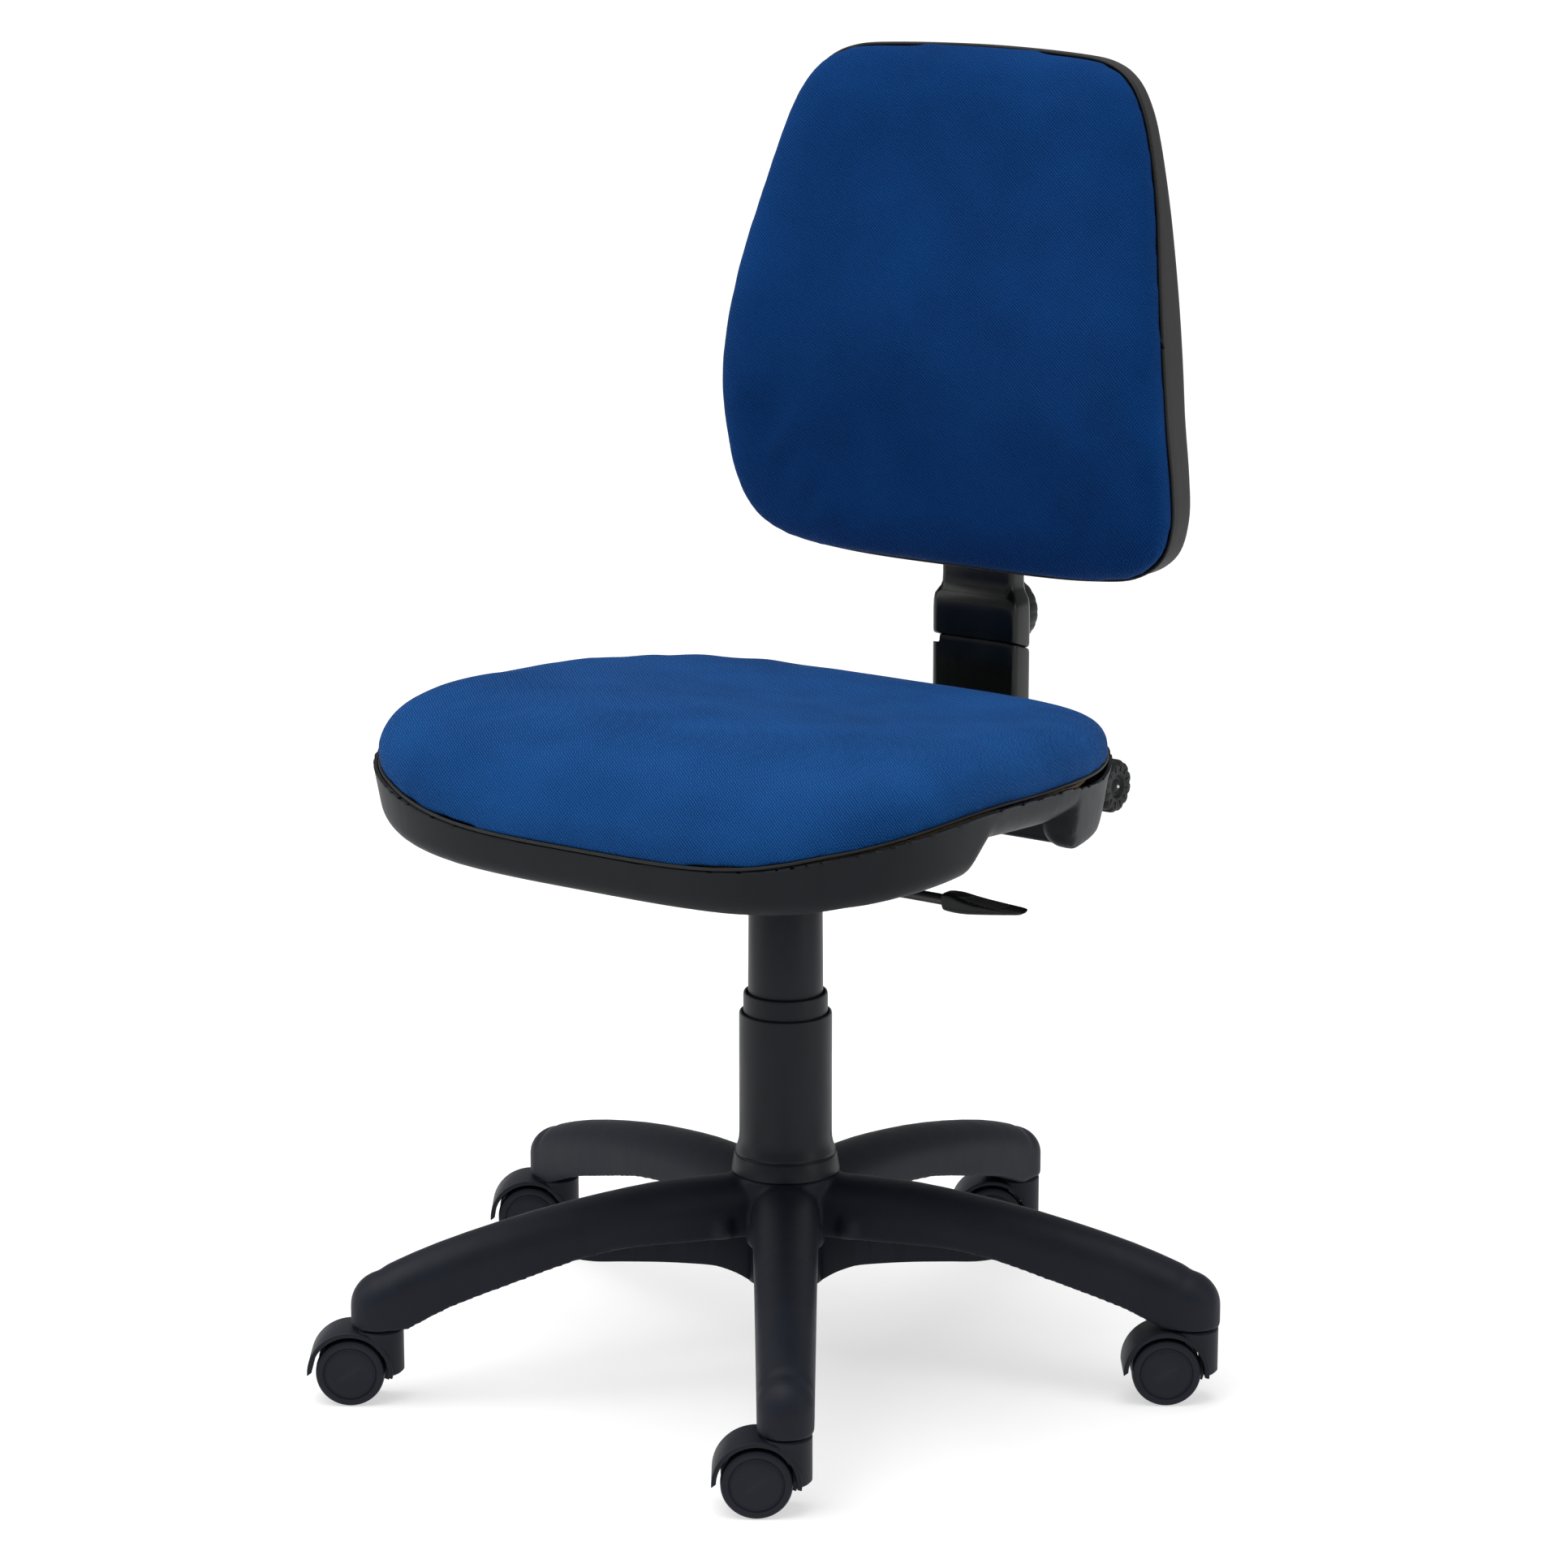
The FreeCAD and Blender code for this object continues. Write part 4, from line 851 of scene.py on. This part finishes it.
def build_seat_shell():
    edge = SHELL_BOTTOM_EDGE

    def floor_z(up):
        return lambda x, y: straight_value(SHELL_FLOOR, y) + up

    def drafted(inset, height):
        ring = []
        for i in range(360):
            angle = 2 * math.pi * i / 360
            x, y = seat_rim(angle, inset)
            z = height(x, y)
            x, y = seat_rim(angle, inset + SHELL_DRAFT * (SHELL_DRAFT_FROM_Z - z))
            ring.append((x, y, z))
        return ring

    rings = [drafted(0, lambda x, y: seam_z(x, y) + 18)]
    rings.append(drafted(0, lambda x, y: seam_z(x, y) - 6))
    for k in range(6):
        turn = math.pi / 2 * k / 5
        rings.append(drafted(edge * (1 - math.cos(turn)), floor_z(edge * (1 - math.sin(turn)))))
    for inset in (30, 60, 100, 140, 175, 200):
        rings.append(drafted(inset, floor_z(0)))
    tray = loft("tray", rings)
    parts = [tray]
    for side in (-1, 1):
        across = sorted((side * POD_X[0], side * POD_X[1]))
        pod = block("pod", across, POD_Y, (REAR_BLOCK_BOTTOM_Z, 470), 15.0, 8)
        parts.append(combined(pod, [seat_prism("walls", 0.0, 405, 470)], "INTERSECT"))
    parts.append(block("cross_block", (-CROSS_BLOCK_HALF, CROSS_BLOCK_HALF), (TUB_Y[0], POD_Y[1]),
                       (REAR_BLOCK_BOTTOM_Z, 455), 3.0, 3))
    parts.append(block("tub", (-TUB_HALF, TUB_HALF), TUB_Y, (REAR_BLOCK_BOTTOM_Z, 455), 9.0, 5))
    shell = melted("seat_shell_moulding", parts, 2.2, 5)

    def rim_z(x, y):
        return seam_z(x, y) - smooth_value(SHELL_EDGE_DIP, y)

    work = bmesh.new()
    work.from_mesh(shell.data)
    for vertex in work.verts:
        spot = vertex.co / MM
        vertex.co.z = min(vertex.co.z, rim_z(spot.x, spot.y) * MM)
    lids = [f for f in work.faces
            if all(v.co.z / MM > rim_z(v.co.x / MM, v.co.y / MM) - 0.02 for v in f.verts)]
    bmesh.ops.delete(work, geom=lids, context="FACES")
    bmesh.ops.recalc_face_normals(work, faces=work.faces)
    work.to_mesh(shell.data)
    work.free()
    skin = shell.modifiers.new("wall", "SOLIDIFY")
    skin.thickness = SHELL_WALL * MM
    skin.offset = -1.0
    apply_modifiers(shell)
    rim_rings = [seat_ring(i, lambda x, y: rim_z(x, y) - SHELL_RIM_TRIM)
                 for i in (215, 150, 80, 30, 10, 4, 0, -6, -12)]
    rim_rings += [seat_ring(i, lambda x, y: 540.0) for i in (-12, 215)]
    combined(shell, [loft("rim_cut", rim_rings)], "DIFFERENCE")
    openings = [block("opening", (-92, 92), (-95, 54), (425, 458)),
                block("opening", (-44, 44), (40, 192), (400, 426)),
                block("opening", (-44, 44), (160, 230), (392, 446))]
    for x in (-130, 130):
        for y in (-65, -5):
            hole_profile = [(0.01, 435), (3.2, 435), (3.2, 465), (0.01, 465)]
            openings.append(turned("hole", hole_profile, "z", (x, y, 0), 32))
    combined(shell, openings, "DIFFERENCE")
    shaded(shell, 40)
    dressed(shell, "seat", "shell_plastic", ["seat_shell"])


# ---------------------------------------------------------------- backrest
def back_rim():
    """The backrest's front outline as a dense smooth loop of (x, z) points."""
    loop = BACK_OUTLINE + [(-x, z) for x, z in reversed(BACK_OUTLINE[1:-1])]
    count = len(loop)
    dense = []
    for i in range(count):
        p0, p1, p2, p3 = (Vector(loop[(i + k) % count]) for k in (-1, 0, 1, 2))
        for s in range(6):
            t = s / 6
            point = (p1 * 2 + (p2 - p0) * t + (p0 * 2 - p1 * 5 + p2 * 4 - p3) * t * t
                     + (p1 * 3 - p0 - p2 * 3 + p3) * t ** 3) / 2
            dense.append(point)
    return dense


BACK_RIM = back_rim()


def back_ring(inset, depth):
    """The outline drawn in by inset; depth(x, z) gives each point's y."""
    ring = []
    for rim_x, rim_z in BACK_RIM:
        x = rim_x * (1 - inset / BACK_HALF[0])
        z = BACK_MIDDLE_Z + (rim_z - BACK_MIDDLE_Z) * (1 - inset / BACK_HALF[1])
        ring.append((x, depth(x, z), z))
    return ring


def back_seam_y(x, z):
    return smooth_value(BACK_SEAM_LINE, z) - smooth_value(BACK_SEAM_SAG, z) * x * x


def back_rear_y(x, z):
    return smooth_value(BACK_REAR_LINE, z) - smooth_value(BACK_REAR_SAG, z) * x * x


def build_back_cushion():
    insets = (0, 0.6, 1.6, 3, 5, 8, 12, 17, 23, 30, 38, 48, 62, 80, 100, 125, 150, 170, 182, 190)

    def front(inset):
        crown = (BACK_CROWN - PAD_STEP) * rounding(inset, BACK_EDGE_ROUNDING, PAD_EDGE_POWER)
        return lambda x, z: back_seam_y(x, z) - PAD_STEP - crown

    rings = [back_ring(i, lambda x, z: back_seam_y(x, z) + 5.0) for i in (188, 160, 120, 70, 30, 12, 6)]
    rings.append(back_ring(5.0, lambda x, z: back_seam_y(x, z) + 3.5))
    rings.append(back_ring(4.4, lambda x, z: back_seam_y(x, z) + 1.0))
    rings.append(back_ring(1.4, lambda x, z: back_seam_y(x, z) - 0.4))
    rings += [back_ring(i, front(i)) for i in insets]
    pad = loft("back_cushion_upholstered", rings)
    soft_pad(pad, lambda p: p.y > back_seam_y(p.x, p.z) - 3.0, BACK_VOXEL, BACK_SWELL)
    dressed(pad, "backrest", "back_fabric", ["back_cushion"])
    # Painted shadow: a near-black tube along the back seam stands for the shadow in the groove between cloth
    # and shell.
    seam_shadow = shaded(tube_round("back_seam_shadow_strip", back_ring(1.6, lambda x, z: back_seam_y(x, z) + 0.2), 1.6))
    dressed(seam_shadow, "backrest", "back_shell_plastic", material=SEAM_SHADOW_STRIP)


def build_back_shell():
    edge, wall = 7.0, 3.0
    outer = [back_ring(i, back_rear_y) for i in (190, 170, 140, 105, 70, 45, 28, 18, 12)]
    for k in range(6):
        turn = math.pi / 2 * k / 5
        fall = edge * (1 - math.sin(math.pi / 2 - turn))
        outer.append(back_ring(1 + edge * (1 - math.sin(turn)), lambda x, z: back_rear_y(x, z) - fall))
    lip = [(1.0, 1.8), (1.3, 1.1), (2.2, 0.7), (3.6, 0.9), (4.0, 1.8)]
    for share in (0.7, 0.35):
        outer.append(back_ring(1.0, lambda x, z: (back_rear_y(x, z) - edge) * share
                               + (back_seam_y(x, z) + 1.8) * (1 - share)))
    for inset, proud in lip:
        outer.append(back_ring(inset, lambda x, z: back_seam_y(x, z) + proud))
    inner = [back_ring(4.0, lambda x, z: back_rear_y(x, z) - edge - wall)]
    inner.append(back_ring(4 + edge * 0.4, lambda x, z: back_rear_y(x, z) - wall - edge * 0.3))
    inner += [back_ring(i, lambda x, z: back_rear_y(x, z) - wall) for i in (14, 40, 90, 140, 188)]
    shell = loft("back_shell_moulding", outer + inner)
    combined(shell, [block("slot", (-33, 33), (243, 290), (540, 598))], "DIFFERENCE")
    shaded(shell, 35)
    dressed(shell, "backrest", "back_shell_plastic", ["back_shell"])


# ---------------------------------------------------------------- back bar covers
def cover_ring(half, front, rear, corner, z_front, z_rear):
    """Rounded rectangle across the bar; its height runs straight from front to rear."""
    ring = []
    centres = [(half - corner, rear - corner), (corner - half, rear - corner),
               (corner - half, front + corner), (half - corner, front + corner)]
    for k, (cx, cy) in enumerate(centres):
        for s in range(7):
            angle = math.pi / 2 * (k + s / 6)
            x, y = cx + corner * math.cos(angle), cy + corner * math.sin(angle)
            z = z_front + (z_rear - z_front) * (y - front) / (rear - front)
            ring.append((x, y, z))
    return ring


def cover(name, levels, wall):
    """A thin moulded sleeve from levels (half, front, rear, corner, z_front, z_rear), low to high."""
    outer = [cover_ring(*level) for level in levels]
    inner = []
    for half, front, rear, corner, z_front, z_rear in reversed(levels):
        inner.append(cover_ring(half - wall, front + wall, rear - wall, max(corner - wall, 0.8),
                                z_front, z_rear))
    return loft(name, outer + inner, closed=True)


def build_covers():
    lower_levels = [(36.4, 247.4, 272.1, 6.4, 396, 402), (*COVER, 398, 404), (*COVER, 440, 440),
                    (*COVER, 475, 472), (*COVER, 496, 488.4),
                    (37.6, 246.4, 273.1, 7, 498.4, 490.5), (36.8, 247.2, 272.3, 6.5, 499.2, 491.2)]
    lower = cover("bar_cover_lower_moulding", lower_levels, 2.5)
    notch = extruded("notch", [(240, 495.5), (262, 487.8), (262, 505), (240, 505)], "x", -40, -29)
    bevelled(notch, 1.6, 3)
    combined(lower, [notch], "DIFFERENCE")
    combined(lower, [block("cut", (-33, 33), (240, 252), (388, 433))], "DIFFERENCE")
    upper_levels = [(36.8, 247.2, 272.3, 6.5, 500, 492), (37.6, 246.3, 273.1, 7, 500.8, 492.8),
                    (*COVER, 503, 495), (*COVER, 520, 516), (37.7, 246.1, 273.5, 7, 526, 525),
                    (36.9, 246.7, 273.5, 6.6, 530.5, 530), (35.2, 248.2, 273.5, 6.4, 533.5, 533),
                    (33.4, 249.8, 273.5, 6.4, 536.5, 536), (32.2, 250.4, 273.5, 6, 540, 540),
                    (32, 250.5, 273.5, 6, 546, 546), (32, 250.5, 273.5, 6, 594, 594),
                    (31.2, 251.2, 272.7, 5.5, 596, 596)]
    upper = cover("bar_cover_upper_moulding", upper_levels, 2.4)
    hole = turned("hole", [(0.01, 262), (4.6, 262), (4.6, 280), (0.01, 280)], "y", (0, 0, KNOB_Z), 32)
    combined(upper, [hole], "DIFFERENCE")
    dressed(shaded(lower, 30), "back_bar", "cover_plastic", ["bar_cover_lower"])
    dressed(shaded(upper, 30), "backrest", "cover_plastic", ["bar_cover_upper"])


# ---------------------------------------------------------------- knobs and lever grip
def fluted(count, depth, rim):
    """A radius rule: shallow rounded flutes round the rim, fading towards the middle."""
    def shape(radius, angle):
        share = max(0.0, (radius / rim - 0.6) / 0.4) ** 0.5 if radius > rim * 0.6 else 0.0
        wave = (0.5 + 0.5 * math.cos(count * angle)) ** 3
        return radius - depth * share * wave
    return shape


def build_handwheel():
    face = HANDWHEEL_FACE_X
    r = HANDWHEEL_R
    profile = [(5.1, face - 35), (9.2, face - 35), (10, face - 34), (10, face - 20), (11, face - 19),
               (r - 2, face - 19), (r - 0.5, face - 18.2), (r, face - 16.5), (r, face - 4),
               (r - 0.5, face - 2), (r - 1.6, face - 0.7), (r - 3.2, face), (12, face - 0.4),
               (9.2, face - 0.6), (8.2, face - 1.6), (7.4, face - 2.6), (5.4, face - 2.8),
               (4.2, face - 2.2), (3.0, face - 1.4), (1.6, face - 1.1), (0.01, face - 1.0),
               (0.01, face - 6.7), (5.1, face - 6.7)]
    wheel = turned("wheel", profile, "x", (0, *PIVOT), 144, closed=True, shape=fluted(12, 1.9, r))
    parts = [wheel]
    for k in range(12):
        dash = block("dash", (face - 0.9, face + 0.25), (11.5, 16.5), (-0.55, 0.55), 0.2, 2)
        turn = Matrix.Rotation(math.radians(30 * k + 15), 4, "X")
        dash.data.transform(Matrix.Translation((0, PIVOT[0] * MM, PIVOT[1] * MM)) @ turn)
        parts.append(dash)
    whole = shaded(gathered("tilt_handwheel_moulding", parts), 30)
    dressed(whole, "tilt_handwheel", "knob_plastic", ["tilt_handwheel"])
    pin_profile = [(0.01, face - 1.3), (1.4, face - 1.3), (1.4, face - 0.5), (1.0, face + 0.1),
                   (0.01, face + 0.3)]
    pin = shaded(turned("handwheel_pin", pin_profile, "x", (0, *PIVOT), 32), 40)
    dressed(pin, "tilt_handwheel", "zinc_steel")


def build_height_knob():
    r = KNOB_R
    profile = [(4.02, 274), (10.2, 274), (11, 274.8), (11, 283), (12, 284), (r - 2.2, 284), (r - 0.6, 284.8),
               (r, 286.6), (r, 296), (r - 0.7, 298.6), (r - 2.4, 299.8), (r - 5, 300), (12, 299.2),
               (6, 299.0), (0.01, 299.0), (0.01, 288.1), (4.02, 288.1)]
    knob = turned("height_knob_moulding", profile, "y", (0, 0, KNOB_Z), 160, closed=True,
                  shape=fluted(20, 0.4, r))
    dressed(shaded(knob, 30), "height_knob", "knob_plastic", ["height_knob"])


def build_lever_grip():
    """Paddle: a squared collar that spreads into a thin dished blade, with slanting grip ribs."""
    stations = [(139, 6.2, -5.8, 5.4), (140, 7.3, -6.9, 6.4), (143, 7.8, -7.2, 6.8), (148, 8.4, -7.4, 6.9),
                (151, 9.2, -7.4, 6.6), (155, 10.0, -7.2, 5.9), (161, 10.7, -6.6, 5.0), (168, 11.0, -5.6, 4.1),
                (176, 11.0, -4.4, 3.4), (184, 10.6, -3.2, 2.9), (191, 9.8, -2.2, 2.7), (197, 8.8, -1.3, 2.6),
                (201, 7.8, -0.8, 2.5), (203.4, 6.6, -0.4, 2.3), (204, 5.6, -0.1, 2.0)]

    def top_at(x, across):
        rows = [(s[0], s[3]) for s in stations]
        half = smooth_value([(s[0], s[1]) for s in stations], x)
        dish = 1.6 * max(0.0, min((x - 150) / 12, 1.0)) * (1 - min(abs(across) / half, 1.0) ** 2)
        return LEVER_Z + smooth_value(rows, x) - dish

    rings = []
    for x, half, low, high in stations:
        ring = []
        keel = 0.45 if x > 150 else 0.2
        for k in range(32):
            angle = 2 * math.pi * k / 32
            c, s = math.cos(angle), math.sin(angle)
            y = half * abs(c) ** 0.6 * (1 if c > 0 else -1)
            if s > 0:
                z = top_at(x, y) - (high - low) * 0.25 * (1 - s ** 0.5)
            else:
                middle = LEVER_Z + high - (high - low) * 0.25
                z = middle + (LEVER_Z + low - middle) * abs(s) ** (0.5 + keel)
            ring.append((x, y, z))
        rings.append(ring)
    blade = loft("blade", rings)
    bore = turned("bore", [(0.01, 130), (4.02, 130), (4.02, 150), (0.01, 150)], "x", (0, 0, LEVER_Z), 32)
    combined(blade, [bore], "DIFFERENCE")
    parts = [blade]
    for k in range(12):
        rib_rings = []
        for s in range(9):
            across = -7.0 + 14.0 * s / 8
            x = 157 + 2.6 * k + across * 0.35
            z = top_at(x, across)
            rib_rings.append([(x - 0.5, across, z - 0.4), (x + 0.5, across, z - 0.4),
                              (x + 0.22, across, z + 0.4), (x - 0.22, across, z + 0.4)])
        parts.append(loft("rib", rib_rings))
    grip = shaded(gathered("lever_grip_moulding", parts), 40)
    dressed(grip, "lever", "knob_plastic", ["lever_paddle"])


# ---------------------------------------------------------------- nodes kept from the CAD
def dress_kept_nodes():
    """Every CAD node that still shows gets the material of its slot in the record."""
    slots = {entry["node"]: entry["material_slot"] for entry in frame["record"]["subparts"]}
    for name, node in frame["nodes"].items():
        if node.hide_render:
            continue
        material = MATERIALS[slots[name]]
        if not node.data.materials:
            node.data.materials.append(material)
        for k in range(len(node.data.materials)):
            node.data.materials[k] = material


set_stage()
build_base()
build_casters()
build_sleeves()
build_seat_shell()
build_seat_cushion()
build_back_cushion()
build_back_shell()
build_covers()
build_handwheel()
build_height_knob()
build_lever_grip()
dress_kept_nodes()
